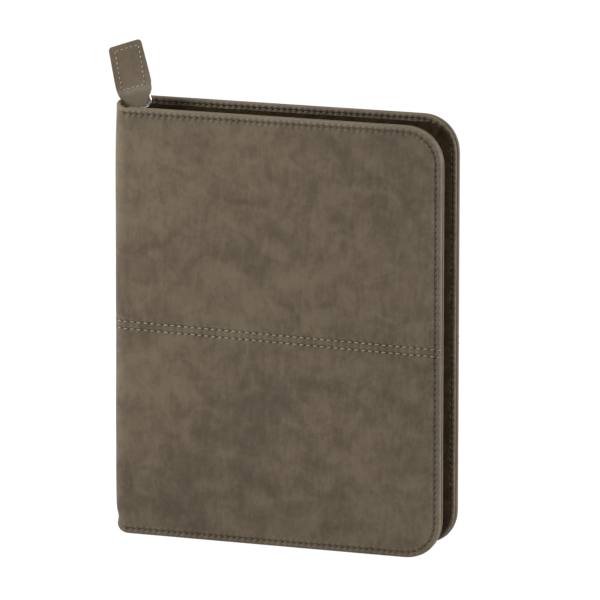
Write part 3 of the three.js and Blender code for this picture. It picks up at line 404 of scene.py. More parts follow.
def paper_stack(name, base, edge, line):
    """Ruled pages: pale sheets with thin lines on their faces, and packed leaves at the cut edges in a darker
    colour, painted shade between the leaves.
    """
    material, tree, shader, coordinates = new_material(name)
    parts = add_node(tree, "ShaderNodeSeparateXYZ")
    tree.links.new(coordinates, parts.inputs[0])
    normal = add_node(tree, "ShaderNodeSeparateXYZ")
    tree.links.new(add_node(tree, "ShaderNodeTexCoord").outputs["Normal"], normal.inputs[0])
    flat = ramp(tree, maths(tree, "ABSOLUTE", normal.outputs[1]), 0.5, 0.8)
    leaves = noise_node(tree, stretched(tree, coordinates, (0.02, 1, 0.02)), 5200, 2.0)
    sheet = noise_node(tree, coordinates, 700, 4.0)
    face = blend_colour(tree, sheet, base, [c * 0.94 for c in base])
    # The cut edges are darker, with stripes of painted shade between the leaves.
    rim = blend_colour(tree, ramp(tree, leaves, 0.35, 0.65), edge, base)
    phase = maths(tree, "FRACT", maths(tree, "DIVIDE", parts.outputs[2], 7.1 * MM))
    ruled = maths(tree, "LESS_THAN", maths(tree, "ABSOLUTE", maths(tree, "SUBTRACT", phase, 0.5)), 0.02)
    inside = maths(tree, "MULTIPLY", maths(tree, "GREATER_THAN", parts.outputs[2], 27 * MM),
                   maths(tree, "LESS_THAN", parts.outputs[2], 206 * MM))
    lines = maths(tree, "MULTIPLY", maths(tree, "MULTIPLY", ruled, inside), 0.6)
    face = blend_colour(tree, lines, face, line)
    tree.links.new(blend_colour(tree, flat, rim, face), shader.inputs["Base Color"])
    tree.links.new(ramp(tree, sheet, 0.3, 0.7, 0.8, 0.9), shader.inputs["Roughness"])
    bump(tree, shader, leaves, 0.25, 0.0001)
    return material


def plain_stock(name, dark, light, rough, scale, strength=0.1):
    """Board, card or plastic sheet with a fine tooth."""
    material, tree, shader, coordinates = new_material(name)
    tooth = noise_node(tree, coordinates, scale, 4.0, 0.65)
    tree.links.new(blend_colour(tree, ramp(tree, tooth, 0.3, 0.7), dark, light), shader.inputs["Base Color"])
    tree.links.new(ramp(tree, tooth, 0.3, 0.7, rough, rough + 0.08), shader.inputs["Roughness"])
    bump(tree, shader, tooth, strength, 0.0002)
    return material


# A dark brown painted into the needle holes as their shade.
HOLE_SHADE_BROWN = (0.026, 0.018, 0.010)
# The third colour is the paler rim: partly rubbed and worn, partly painted highlight on the rolled border.
LEATHER = leatherette("taupe_leatherette", (0.086, 0.063, 0.039), (0.158, 0.121, 0.077),
                      (0.172, 0.134, 0.090))
TAB_LEATHER = leatherette("tab_leatherette", (0.104, 0.079, 0.050), (0.140, 0.108, 0.070), size=1.6)
# The facing's rim colour is likewise partly worn, partly painted highlight.
FACING_LEATHER = leatherette("facing_leatherette", (0.094, 0.071, 0.045), (0.150, 0.115, 0.075),
                             (0.150, 0.116, 0.076), size=1.4)
POCKET_LEATHER = leatherette("pocket_leatherette", (0.050, 0.039, 0.025), (0.074, 0.058, 0.038), size=1.7)
LINING = cloth("lining_twill", (0.026, 0.020, 0.013), (0.050, 0.039, 0.026), 1900.0)
# The zip tape's paler colour is painted highlight on its threads and puckers.
TAPE = cloth("zip_tape", (0.004, 0.0022, 0.0008), (0.034, 0.021, 0.009), 1100.0, strength=0.9,
             specular=0.04)
ELASTIC = cloth("knitted_elastic", (0.012, 0.010, 0.007), (0.03, 0.024, 0.017), 1000.0, strength=0.6)
TEETH = plain_stock("moulded_teeth", (0.014, 0.011, 0.008), (0.03, 0.024, 0.017), 0.35, 500)
NICKEL = plated("nickel_plate", (0.78, 0.76, 0.74), 0.16)
SATIN_NICKEL = plated("satin_nickel", (0.96, 0.93, 0.91), 0.42)
PAPER = paper_stack("ruled_paper", (0.82, 0.79, 0.71), (0.52, 0.49, 0.42), (0.34, 0.36, 0.38))
CARD = plain_stock("index_card", (0.40, 0.33, 0.22), (0.50, 0.42, 0.30), 0.7, 1400)
BOARD = plain_stock("grey_board", (0.26, 0.22, 0.17), (0.38, 0.33, 0.26), 0.85, 900, 0.3)
PLASTIC = plain_stock("frosted_plastic", (0.62, 0.64, 0.63), (0.72, 0.74, 0.73), 0.3, 500, 0.05)
DARK_THREAD = thread("dark_thread", (0.085, 0.066, 0.043), (0.18, 0.145, 0.10))
INNER_THREAD = thread("inner_thread", (0.10, 0.080, 0.055), (0.21, 0.17, 0.12))
TAN_THREAD = thread("tan_thread", (0.25, 0.20, 0.13), (0.46, 0.38, 0.27))
# Dark brown for the tab's needle holes: painted shade.
NEEDLE_HOLE_SHADE = plain_stock("needle_hole_shade", (0.034, 0.025, 0.015), (0.050, 0.038, 0.024), 0.9, 800)


# Mesh helpers

def piece(name, bm, materials, body=None, replaces=(), sharp=35.0):
    """Makes a mesh object of a bmesh with its materials, puts it on the body it rides on and hides the parts
    it stands for.
    """
    mesh = bpy.data.meshes.new(name)
    bm.to_mesh(mesh)
    bm.free()
    made = bpy.data.objects.new(name, mesh)
    bpy.context.scene.collection.objects.link(made)
    for material in materials:
        mesh.materials.append(material)
    mesh.shade_smooth()
    if sharp:
        mesh.set_sharp_from_angle(angle=math.radians(sharp))
    if body:
        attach(made, body)
    if replaces:
        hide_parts(*replaces)
    return made


def solidify(made, thickness, offset=-1.0, inner=0):
    modifier = made.modifiers.new("thickness", "SOLIDIFY")
    modifier.thickness = thickness * MM
    modifier.offset = offset
    modifier.material_offset = inner
    return modifier


def soften(made, levels=1):
    modifier = made.modifiers.new("soften", "SUBSURF")
    modifier.levels = levels
    modifier.render_levels = levels


def round_edges(made, width, segments=2, angle=40.0):
    modifier = made.modifiers.new("rounding", "BEVEL")
    modifier.width = width * MM
    modifier.segments = segments
    modifier.limit_method = "ANGLE"
    modifier.angle_limit = math.radians(angle)


def stations(marks, step):
    """The marks in order, with every gap wider than step divided evenly."""
    ordered = sorted(set(round(m, 4) for m in marks))
    lines = [ordered[0]]
    for a, b in zip(ordered, ordered[1:]):
        count = max(1, math.ceil((b - a) / step - 1e-6))
        lines += [a + (b - a) * (i + 1) / count for i in range(count)]
    return lines


def flat_grid(bm, columns, rows):
    """A flat grid with its columns and rows at the given stations, kept in each point's X and Z."""
    bmesh.ops.create_grid(bm, x_segments=len(columns) - 1, y_segments=len(rows) - 1, size=0.5)
    for v in bm.verts:
        i = round((v.co.x + 0.5) * (len(columns) - 1))
        j = round((v.co.y + 0.5) * (len(rows) - 1))
        v.co = (columns[i], 0, rows[j])


def smooth_step(value):
    t = min(1.0, max(0.0, value))
    return t * t * (3 - 2 * t)


def point_at(x, y, z):
    return Vector((SPINE_X + x * MM, y * MM, z * MM))


def face_outwards(bm, outward):
    """Turns the whole sheet over if its faces look against the outward directions of their corners."""
    bm.normal_update()
    if sum(f.normal.dot(outward[f.verts[0]]) for f in bm.faces) < 0:
        bmesh.ops.reverse_faces(bm, faces=bm.faces)


# Turned-edge leather: a flat cut whose edges roll over and turn in, laid on a surface

def turned_edge(distance, roll):
    """How far in from the finished edge and how far below the face a point of the cut comes to lie."""
    if distance >= roll:
        return distance, 0.0
    angle = min((roll - distance) / roll, math.pi)
    over = max(0.0, (roll - distance) - math.pi * roll)
    return roll - roll * math.sin(angle) + over, roll - roll * math.cos(angle)


def laid_out(s, z, cut):
    """Where a point of the cut lies: along, up, in from the edge, below the face."""
    low_side = cut["low_edge"] and s - cut["s0"] < cut["s1"] - s
    from_side = s - cut["s0"] if low_side else cut["s1"] - s
    from_top = z > (cut["z0"] + cut["z1"]) / 2
    from_end = cut["z1"] - z if from_top else z - cut["z0"]
    radius = cut["radii"][0 if low_side else 1]
    roll = cut["roll"]
    depth = 0.0
    if from_side < radius and from_end < radius:
        u, v = radius - from_side, radius - from_end
        reach = max(u, v)
        angle = math.pi / 4 * (v / u if u >= v else 2 - u / v)
        inset, depth = turned_edge(radius - reach, roll)
        from_side = radius - (radius - inset) * math.cos(angle)
        from_end = radius - (radius - inset) * math.sin(angle)
    elif from_side < from_end:
        inset, depth = turned_edge(from_side, roll)
        from_side = inset
    else:
        inset, depth = turned_edge(from_end, roll)
        from_end = inset
    along = cut["s0"] + from_side if low_side else cut["s1"] - from_side
    up = cut["z1"] - from_end if from_top else cut["z0"] + from_end
    return along, up, inset, depth


def lay_leather(bm, cut, place, relief, fine, step, extra_s=(), extra_z=()):
    """A turned-edge cut as a grid, laid by place(along), which gives a point and its outward direction."""
    turn = math.pi * cut["roll"] - cut["roll"] + cut["turn_in"]
    edge = [-turn, *(cut["roll"] * (1 - math.pi * k / 4) for k in range(5)), *fine]
    columns = [cut["s1"] - d for d in edge] + list(extra_s)
    columns += [cut["s0"] + d for d in edge] if cut["low_edge"] else [cut["s0"]]
    rows = [cut["z0"] + d for d in edge] + [cut["z1"] - d for d in edge] + list(extra_z)
    flat_grid(bm, stations(columns, step), stations(rows, step))
    layers = {key: bm.verts.layers.float.new(key) for key in ("inset", "along", "row_inset", "row_along")}
    outward = {}
    for v in bm.verts:
        along, up, inset, depth = laid_out(v.co.x, v.co.z, cut)
        base, normal = place(along)
        shown = depth < cut["roll"]
        raised = relief(along, up, inset) if shown else 0.0
        marks = cut["marks"](along, up) if "marks" in cut else (0.0, 0.0, 0.0, 0.0)
        v[layers["inset"]] = inset + marks[0] if shown else 0.0
        for key, mark in zip(("along", "row_inset", "row_along"), marks[1:]):
            v[layers[key]] = mark
        lift = cut["lift"](along, up) if "lift" in cut else 0.0
        v.co = point_at(base[0], base[1], up + lift) + normal * ((raised - depth) * MM)
        outward[v] = normal if shown else -normal
    face_outwards(bm, outward)


# Covers and spine: one skin, cut in two along the middle of the spine

SPINE_FLAT = HALF - SPINE_CURVE
SPINE_BEND = SPINE_CURVE * math.pi / 2
BEND_END_X = SPINE_CURVE - SPINE_OUT
WRAP_LENGTH = SPINE_FLAT + SPINE_BEND + WIDTH + FORE_EDGE_OUT - BEND_END_X


def wrap_x(s):
    """Across the cover from the spine's outer face, for a length along the skin."""
    return BEND_END_X + s - SPINE_FLAT - SPINE_BEND


def wrap_s(x):
    """Length along the skin, for a place across the cover."""
    return x - BEND_END_X + SPINE_FLAT + SPINE_BEND


def wrap_place(side):
    """The skin's path seen from above: half the spine, round its corner and along the cover, which fills out
    a little towards the fore-edge."""
    def place(s):
        if s <= SPINE_FLAT:
            return (-SPINE_OUT, side * s), Vector((-1, 0, 0))
        if s <= SPINE_FLAT + SPINE_BEND:
            angle = (s - SPINE_FLAT) / SPINE_CURVE
            x = SPINE_CURVE * (1 - math.cos(angle)) - SPINE_OUT
            y = SPINE_FLAT + SPINE_CURVE * math.sin(angle)
            return (x, side * y), Vector((-math.cos(angle), side * math.sin(angle), 0))
        full = COVER_FULLNESS[side] * smooth_step((wrap_x(s) - BEND_END_X) / (WIDTH - BEND_END_X))
        return (wrap_x(s), side * (HALF + full)), Vector((0, side, 0))
    return place


def row_height(ends, s):
    """Height of a row of show stitches, which falls a little towards the fore-edge."""
    return ends[0] + (ends[1] - ends[0]) * min(1.0, max(0.0, wrap_x(s) / WIDTH))


def row_distance(s, z):
    return min(abs(z - row_height(ROW_UPPER, s)), abs(z - row_height(ROW_LOWER, s)))


def near_spine(s, reach):
    """1 on the spine, 0 on the cover, with a soft change over the last part of the corner."""
    return 1 - smooth_step((s - SPINE_FLAT - SPINE_BEND + reach) / reach)


def wrap_relief(side):
    """How far the skin stands off its plain surface: seam groove, rolled border, soft middle, waves."""
    def relief(s, z, inset):
        x = wrap_x(s)
        sewn = smooth_step((x - SEAM_START) / 3)
        height = 0.14 * math.exp(-((inset - SEAM_INSET / 2) / 0.8) ** 2) * sewn
        height -= 0.26 * math.exp(-((inset - SEAM_INSET) / 0.55) ** 2) * sewn
        height += 0.30 * smooth_step((inset - 5) / 30)
        where = Vector((s * 0.022, side * 3.0, z * 0.022))
        height += 0.16 * noise.noise(where) * smooth_step((inset - 4) / 14)
        height += 0.045 * noise.noise(where * 4.3) * smooth_step((inset - 4) / 6)
        height -= 0.16 * math.exp(-(row_distance(s, z) / 0.6) ** 2)
        top_tuck = 0.35 * smooth_step((18 - HEIGHT + z) / 16)
        low_tuck = 1.1 * math.exp(-((z - 7.5) / 4.0) ** 2) + 0.5 * smooth_step((6 - z) / 6)
        lean = SPINE_LEAN * (2 * z / HEIGHT - 1)
        return height - (top_tuck + low_tuck + lean) * near_spine(s, 9)
    return relief


def wrap_lift(side):
    """How far the skin is moved up. The spine's skin sits a little higher than the covers at both ends, and
    the front cover's top edge hangs a little lower than the back cover's."""
    def lift(s, z):
        top = smooth_step((z - HEIGHT + 16) / 15)
        spine = (1.4 * top + 2.3 * smooth_step((14 - z) / 13)) * near_spine(s, 11)
        drop = FRONT_TOP_DROP * smooth_step((z - HEIGHT + 40) / 38) * smooth_step((s - SPINE_FLAT) / 14)
        return spine - (drop if side < 0 else 0.0)
    return lift


def seam_half_length(start):
    """From the seam's start at the spine to the middle of the fore-edge."""
    return WIDTH - CORNER - start + (CORNER - SEAM_INSET) * math.pi / 2 + HEIGHT / 2 - CORNER


def seam_pitch(start):
    half = seam_half_length(start)
    return half / round(half / SEAM_PITCH)


def seam_along(x, z, start):
    """Stitches from the seam's nearer end to the place on it nearest to a point."""
    up = max(z, HEIGHT - z) - (HEIGHT - CORNER)
    past = x - FORE_EDGE_OUT * smooth_step((x - CORNER) / (WIDTH - 2 * CORNER)) - (WIDTH - CORNER)
    straight = WIDTH - CORNER - start
    turn = CORNER - SEAM_INSET
    if up > 0 and past > 0:
        length = straight + turn * math.atan2(past, up)
    elif past > up:
        length = straight + turn * math.pi / 2 - up
    else:
        length = straight + past
    return length / seam_pitch(start)


def wrap_marks(s, z):
    """The marks that the leather's material reads: inset's shift, along the seam, off the row, along it."""
    return 0.0, seam_along(wrap_x(s), z, SEAM_START), SEAM_INSET + row_distance(s, z), s / ROW_PITCH


def wrap_cut(side):
    return {"s0": 0.0, "s1": WRAP_LENGTH, "z0": 0.0, "z1": HEIGHT, "radii": (CORNER, CORNER),
            "roll": EDGE_ROLL, "turn_in": TURN_IN, "low_edge": False, "marks": wrap_marks,
            "lift": wrap_lift(side)}


SEAM_FINE = (1.9, 2.3, 2.6, 2.9, 3.2, 3.5, 3.8, 4.4, 5.4, 7.4, 10.0, 13.5, 16.5, 20.0)
COVER = {-1: "front", 1: "back"}


def hinge_blend(made):
    """Bakes the piece's transform into its mesh."""
    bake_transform(made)


def make_wrap(side):
    bm = bmesh.new()
    corner = [SPINE_FLAT + SPINE_BEND * k / 6 for k in range(7)]
    rows = [ROW_LOWER[1] - 2 + 0.5 * k for k in range(22)]
    lay_leather(bm, wrap_cut(side), wrap_place(side), wrap_relief(side), SEAM_FINE, 4.2,
                extra_s=[*corner, SPINE_FLAT - 1.5, SPINE_FLAT + SPINE_BEND + 1.5], extra_z=rows)
    replaced = [COVER[side] + "_cover_skin"] + (["spine_skin"] if side < 0 else [])
    made = piece(COVER[side] + "_leather_wrap", bm, (LEATHER, LINING), replaces=replaced,
                 sharp=None)
    solidify(made, HIDE, inner=1)
    soften(made)
    hinge_blend(made)
    return made


# Stitches

def edge_run(start_x, inset, step=0.5):
    """Points (x, z, out_x, out_z) along a line set in from the cover's edge: top, fore-edge and bottom."""
    radius = CORNER - inset
    cx = WIDTH - CORNER
    tall = HEIGHT - 2 * CORNER
    across = int((cx - start_x) / step)
    down = int(tall / step)
    turns = max(8, int(radius * math.pi / 2 / step))
    arc = [(math.sin(math.pi / 2 * i / turns), math.cos(math.pi / 2 * i / turns)) for i in range(turns)]
    points = [(start_x + (cx - start_x) * i / across, HEIGHT - inset, 0, 1) for i in range(across)]
    points += [(cx + radius * u, HEIGHT - CORNER + radius * v, u, v) for u, v in arc]
    points += [(WIDTH - inset, HEIGHT - CORNER - tall * i / down, 1, 0) for i in range(down)]
    points += [(cx + radius * v, CORNER - radius * u, v, -u) for u, v in arc]
    points += [(cx - (cx - start_x) * i / across, inset, 0, -1) for i in range(across + 1)]
    return points


def sew(bm, line, pitch, length, width, lift=0.0, first=0.5):
    """Stitches along a line of (point, outward): long beads of thread that dip at both ends."""
    travelled = [0.0]
    for (a, _), (b, _) in zip(line, line[1:]):
        travelled.append(travelled[-1] + (b - a).length / MM)
    k = 0
    target = pitch * first
    for i in range(len(line) - 1):
        while travelled[i] <= target < travelled[i + 1]:
            share = (target - travelled[i]) / (travelled[i + 1] - travelled[i])
            centre = line[i][0].lerp(line[i + 1][0], share)
            outward = line[i][1].lerp(line[i + 1][1], share).normalized()
            along = (line[i + 1][0] - line[i][0]).normalized()
            across = outward.cross(along)
            half = (across * width / 2, outward * width / 2, along * length / 2)
            turn = Matrix([[half[c][r] * MM for c in range(3)] for r in range(3)]).to_4x4()
            place = Matrix.Translation(centre + outward * lift * MM) @ turn
            bmesh.ops.create_uvsphere(bm, u_segments=7, v_segments=6, radius=1.0, matrix=place)
            k += 1
            target = pitch * (first + k)


def wrap_surface(side, s, z, inset):
    """A point on the skin and its outward direction, also on the rolled border."""
    base, normal = wrap_place(side)(s)
    sunk = 0.0
    if inset < EDGE_ROLL:
        sunk = EDGE_ROLL - math.sqrt(EDGE_ROLL ** 2 - (EDGE_ROLL - inset) ** 2)
    height = wrap_relief(side)(s, z, inset) - sunk
    return point_at(base[0], base[1], z + wrap_lift(side)(s, z)) + normal * (height * MM), normal


def edge_line(side, start_x):
    """The sewing line round one cover, on the skin's surface."""
    out = FORE_EDGE_OUT
    line = []
    for x, z, _, _ in edge_run(start_x, SEAM_INSET):
        s = wrap_s(x + out * smooth_step((x - CORNER) / (WIDTH - 2 * CORNER)))
        line.append(wrap_surface(side, s, z, SEAM_INSET))
    return line


def make_edge_stitches(side):
    bm = bmesh.new()
    sew(bm, edge_line(side, SEAM_START), seam_pitch(SEAM_START), 2.1, 0.66, lift=0.07)
    hinge_blend(piece(COVER[side] + "_edge_stitches", bm, (DARK_THREAD,), sharp=None))
    normal = Vector((0, -side, 0))
    line = [(point_at(x, side * FACING_Y, z), normal)
            for x, z, _, _ in edge_run(FACING_SEAM_START, INNER_SEAM_INSET)]
    bm = bmesh.new()
    sew(bm, line, seam_pitch(FACING_SEAM_START), 2.3, 0.65)
    piece(COVER[side] + "_inner_stitches", bm, (INNER_THREAD,), body=COVER[side] + "_cover",
          sharp=None)


def make_show_rows(side):
    """The double row of pale stitches across the cover and half the spine, up on to the rolled border."""
    threads = bmesh.new()
    for ends in (ROW_UPPER, ROW_LOWER):
        steps = int((WRAP_LENGTH - 0.3) / 0.4)
        places = [(WRAP_LENGTH - 0.3) * k / steps for k in range(steps + 1)]
        line = [wrap_surface(side, s, row_height(ends, s), WRAP_LENGTH - s) for s in places]
        sew(threads, line, ROW_PITCH, 2.5, 0.66, lift=0.1)
    hinge_blend(piece(COVER[side] + "_show_stitches", threads, (TAN_THREAD,), sharp=None))


# Inner layers

def inner_place(side, y):
    normal = Vector((0, -side, 0))
    return lambda s: ((s, side * y), normal)


FACING_FINE = (1.5, 2.1, 2.6, 2.9, 3.2, 3.6, 4.2, 5.0, 7.0, 10.0, 19.0)


def make_facing(side):
    """The inner leather layer of a cover, with its edges turned under."""
    edge = FACING_EDGES[side]
    top = HEIGHT - max(edge, 0.0) - (FRONT_TOP_DROP if side < 0 else 0.0)
    cut = {"s0": FACING_LOW_X, "s1": WIDTH - edge, "z0": max(edge, 0.0), "z1": top,
           "radii": (2.0, CORNER - edge), "roll": FACING_ROLL, "turn_in": 0.5, "low_edge": True,
           "marks": lambda x, z: (SEAM_INSET - INNER_SEAM_INSET + edge,
                                  seam_along(x, z, FACING_SEAM_START), 0.0, 0.0)}

    def relief(s, z, inset):
        groove = 0.2 * math.exp(-((inset - INNER_SEAM_INSET + edge) / 0.5) ** 2)
        groove *= smooth_step((s - FACING_SEAM_START) / 3)
        fold = 0.8 * math.exp(-((s - FACING_FOLD_X) / 0.55) ** 2)
        return 0.05 * noise.noise(Vector((s * 0.05, side, z * 0.05))) - groove - fold
    bm = bmesh.new()
    lay_leather(bm, cut, inner_place(side, FACING_Y), relief, FACING_FINE, 5.0,
                extra_s=[FACING_FOLD_X + 0.4 * k for k in range(-3, 4)])
    made = piece(COVER[side] + "_inner_leather", bm, (FACING_LEATHER,),
                 body=COVER[side] + "_cover", replaces=[COVER[side] + "_cover_facing"], sharp=None)
    solidify(made, 0.5)
    soften(made)


POCKET_SEAM = 2.0
POCKET_MOUTH_SEAM = 2.6


def make_pocket(node):
    """A leather pocket in place of its CAD node: a panel with a turned mouth, a little full in the middle."""
    low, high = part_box(node)
    side = -1 if low.y < 0 else 1
    top_y = min(abs(low.y), abs(high.y)) / MM
    depth = (high.y - low.y) / MM
    x0, x1 = (low.x - SPINE_X) / MM, (high.x - SPINE_X) / MM
    z0, z1 = low.z / MM, high.z / MM
    cut = {"s0": x0, "s1": x1, "z0": z0, "z1": z1, "radii": (3.0, 3.0), "roll": depth / 2 - 0.02,
           "turn_in": 0.2, "low_edge": True}

    def relief(_s, _z, inset):
        full = 0.12 * smooth_step((inset - 3) / 18)
        return full - 0.1 * math.exp(-((inset - POCKET_SEAM) / 0.4) ** 2) - 0.12
    bm = bmesh.new()
    lay_leather(bm, cut, inner_place(side, top_y), relief, (1.0, 1.5, 1.8, 2.0, 2.3, 2.8), 6.0)
    body = COVER[side] + "_cover"
    made = piece(node + "_leather", bm, (POCKET_LEATHER,), body=body, replaces=[node], sharp=None)
    solidify(made, 0.35)
    soften(made)
    left, right = x0 + POCKET_SEAM, x1 - POCKET_SEAM
    sides = [(left, z1 - 1), (left, z0 + POCKET_SEAM), (right, z0 + POCKET_SEAM), (right, z1 - 1)]
    mouth = [(x0 + 4, z1 - POCKET_MOUTH_SEAM), (x1 - 4, z1 - POCKET_MOUTH_SEAM)]
    normal = Vector((0, -side, 0))
    stitches = bmesh.new()
    for run in (sides, mouth):
        for ends in zip(run, run[1:]):
            line = [(point_at(x, side * (top_y + 0.2), z), normal) for x, z in ends]
            sew(stitches, line, 2.8, 2.0, 0.45, lift=0.06)
    piece(node + "_stitches", stitches, (DARK_THREAD,), body=body, sharp=None)


def make_spine_lining():
    low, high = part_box("spine_lining")
    top_x = (high.x - SPINE_X) / MM
    half = high.y / MM
    normal = Vector((1, 0, 0))
    cut = {"s0": -half, "s1": half, "z0": low.z / MM, "z1": high.z / MM, "radii": (1.5, 1.5), "roll": 0.38,
           "turn_in": 0.2, "low_edge": True}
    bm = bmesh.new()
    lay_leather(bm, cut, lambda s: ((top_x, s), normal),
                lambda s, z, inset: 0.04 * noise.noise(Vector((s * 0.1, 2, z * 0.05))) - 0.05,
                (0.8, 1.4, 2.4), 5.0)
    made = piece("spine_lining_cloth", bm, (LINING,), body="spine", replaces=["spine_lining"],
                 sharp=None)
    solidify(made, 0.3)


# Zip

def zip_line(start_x, end_x, inset):
    """The run round the gusset as (x, z, out_x, out_z), from the slider's end to the bottom end."""
    return [p for p in edge_run(TAPE_START_X, inset)
            if p[0] >= (start_x if p[1] > HEIGHT / 2 else end_x)]


def tape_point(side, t, share, out_x, out_z):
    """Where a point of the tape comes to lie: how far out from the chain's line, and its Y. The tape leaves
    the facing near the edge, bulges out in soft puckers and comes back to the chain."""
    foot_y = side * (FACING_Y - 0.15)
    foot = TAPE_FOOT_OUT + (TAPE_FOOT_OUT_FORE_EDGE - TAPE_FOOT_OUT) * max(0.0, out_x) ** 2
    if share <= 0:
        return foot + (TAPE_FLANGE + foot - TAPE_FOOT_OUT) * share, foot_y
    y = foot_y + (CHAIN_Y + side * 1.1 - foot_y) * share
    bulge = math.sin(math.pi * min(1.0, share) ** 0.62) ** 1.2
    fold = 1.2 * noise.noise(Vector((t * 0.16, side * 5.0, share * 1.1)))
    fold += 0.8 * noise.noise(Vector((t * 0.42, side * 9.0, share * 2.0)))
    corner = min(1.0, 2 * abs(out_x * out_z))
    reach = 0.5 + 1.0 * out_x + 1.8 * corner
    out = foot * (1 - smooth_step(share * 1.05)) + bulge * (reach + fold * (1.0 + 2.2 * corner))
    return min(out, TAPE_INSET - 1.5), y


def make_tape(side):
    """One zip tape: sewn flat on the facing, then standing up to the chain as a gathered gusset."""
    run = edge_run(TAPE_START_X, TAPE_INSET, 0.9)
    across = [-1.0, -0.6, -0.25, -0.06, 0.0, 0.05, 0.12, 0.2, 0.3, 0.42, 0.55, 0.68, 0.82, 0.93, 1.0]
    bm = bmesh.new()
    flat_grid(bm, [float(i) for i in range(len(run))], across)
    outward = {}
    for v in bm.verts:
        x, z, out_x, out_z = run[round(v.co.x)]
        share = v.co.z
        out, y = tape_point(side, v.co.x * 0.9, share, out_x, out_z)
        v.co = point_at(x + out_x * out, y, z + out_z * out)
        outward[v] = Vector((0, -side, 0)) if share <= 0 else Vector((out_x, 0, out_z))
    face_outwards(bm, outward)
    made = piece(COVER[side] + "_tape_cloth", bm, (TAPE,), body=COVER[side] + "_cover",
                 replaces=[COVER[side] + "_zip_tape"], sharp=None)
    solidify(made, 0.55)
    soften(made)


# A tooth's foot, the tip between the other row's teeth, and its bead: length, width, height, place across
TOOTH_BLOCKS = ((1.0, 3.4, 2.2, 0.9), (0.8, 1.7, 1.5, -0.1), (1.3, 1.5, 2.6, 1.9))


def make_chain(side):
    """One row of moulded teeth, each clamped on the tape's edge, reaching between the other row's teeth."""
    line = zip_line(CHAIN_START_X, CHAIN_END_X, TAPE_INSET)
    travelled = [0.0]
    for a, b in zip(line, line[1:]):
        travelled.append(travelled[-1] + math.hypot(b[0] - a[0], b[1] - a[1]))
    bm = bmesh.new()
    target = TOOTH_PITCH * (0.25 if side > 0 else 0.75)
    for i in range(len(line) - 1):
        while travelled[i] <= target < travelled[i + 1]:
            share = (target - travelled[i]) / (travelled[i + 1] - travelled[i])
            x, z, out_x, out_z = (a + (b - a) * share for a, b in zip(line[i], line[i + 1]))
            spin = Matrix.Rotation(math.atan2(out_x, out_z), 4, "Y")
            for length, width, height, y in TOOTH_BLOCKS:
                size = Matrix.Diagonal((length * MM, width * MM, height * MM, 1))
                place = Matrix.Translation(point_at(x, CHAIN_Y + side * y, z)) @ spin @ size
                bmesh.ops.create_cube(bm, size=1.0, matrix=place)
            target += TOOTH_PITCH
    piece(COVER[side] + "_zip_chain", bm, (TEETH,), body=COVER[side] + "_cover",
          replaces=[COVER[side] + "_zip_teeth"], sharp=30)


# Ring mechanism

def make_half_rings(side, body, node):
    """Half of every ring, bent from round wire, on the blade that carries them under the plate."""
    bm = bmesh.new()
    for offset in RING_OFFSETS:
        centre = point_at(RING_X, 0, HEIGHT / 2 + offset)
        tip = centre + Vector((RING_RADIUS * MM, 0, 0))
        ring = bmesh.ops.create_circle(bm, segments=12, radius=WIRE * MM, cap_ends=True,
                                       matrix=Matrix.Translation(tip) @ Matrix.Rotation(math.pi / 2, 4, "X"))
        face = {f for v in ring["verts"] for f in v.link_faces}
        bmesh.ops.spin(bm, geom=[*ring["verts"], *face, *{e for v in ring["verts"] for e in v.link_edges}],
                       cent=centre, axis=(0, 0, 1), angle=side * math.radians(164), steps=22, use_merge=False,
                       use_duplicate=False)
    blade = Matrix.Translation(point_at(PLATE_BASE_X + 1.6, side * 2.5, HEIGHT / 2))
    bmesh.ops.create_cube(bm, size=1.0, matrix=blade @ Matrix.Diagonal((0.8 * MM, 4.2 * MM, 156 * MM, 1)))
    bmesh.ops.recalc_face_normals(bm, faces=bm.faces)
    piece(node + "_wire", bm, (NICKEL,), body=body, replaces=[node])


def copy_of(node):
    """A CAD node's mesh with its loose triangles merged."""
    bm = bmesh.new()
    bm.from_mesh(frame["nodes"][node].data)
    bmesh.ops.remove_doubles(bm, verts=bm.verts, dist=0.00001)
    return bm


def make_metal(node, rounding):
    """A copy of a rigid CAD node with its edges eased, which stands for it."""
    bm = copy_of(node)
    bmesh.ops.dissolve_limit(bm, angle_limit=math.radians(1), verts=bm.verts, edges=bm.edges)
    body = frame["nodes"][node]["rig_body"]
    round_edges(piece(node + "_metal", bm, (NICKEL,), body=body, replaces=[node]), rounding)


# Pen loop

def make_pen_loop():
    low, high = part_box("pen_loop")
    centre = (low + high) / 2
    half_x, half_y = (high.x - low.x) / 2, (high.y - low.y) / 2
    rings = 30
    bm = bmesh.new()
    for k in range(rings):
        bmesh.ops.create_circle(bm, segments=40, radius=1.0, cap_ends=False,
                                matrix=Matrix.Translation((0, 0, k)))
    loops = [[e for e in bm.edges if abs(e.verts[0].co.z - k) < 0.1] for k in range(rings)]
    for a, b in zip(loops, loops[1:]):
        bmesh.ops.bridge_loops(bm, edges=a + b)
    outward = {}
    for v in bm.verts:
        angle = math.atan2(v.co.y, v.co.x)
        ease = (abs(math.cos(angle)) ** 4 + abs(math.sin(angle)) ** 4) ** -0.25
        rib = 0.06 * MM * math.sin(v.co.z * math.pi / 2)
        outward[v] = Vector((math.cos(angle), math.sin(angle), 0))
        v.co = Vector((centre.x + (half_x + rib - 0.1 * MM) * math.cos(angle) * ease,
                       centre.y + (half_y + rib - 0.1 * MM) * math.sin(angle) * ease,
                       low.z + (high.z - low.z) * v.co.z / (rings - 1)))
    face_outwards(bm, outward)
    made = piece("pen_loop_elastic", bm, (ELASTIC,), body="back_cover", replaces=["pen_loop"],
                 sharp=None)
    solidify(made, 0.7)
    soften(made)


# Pull tab

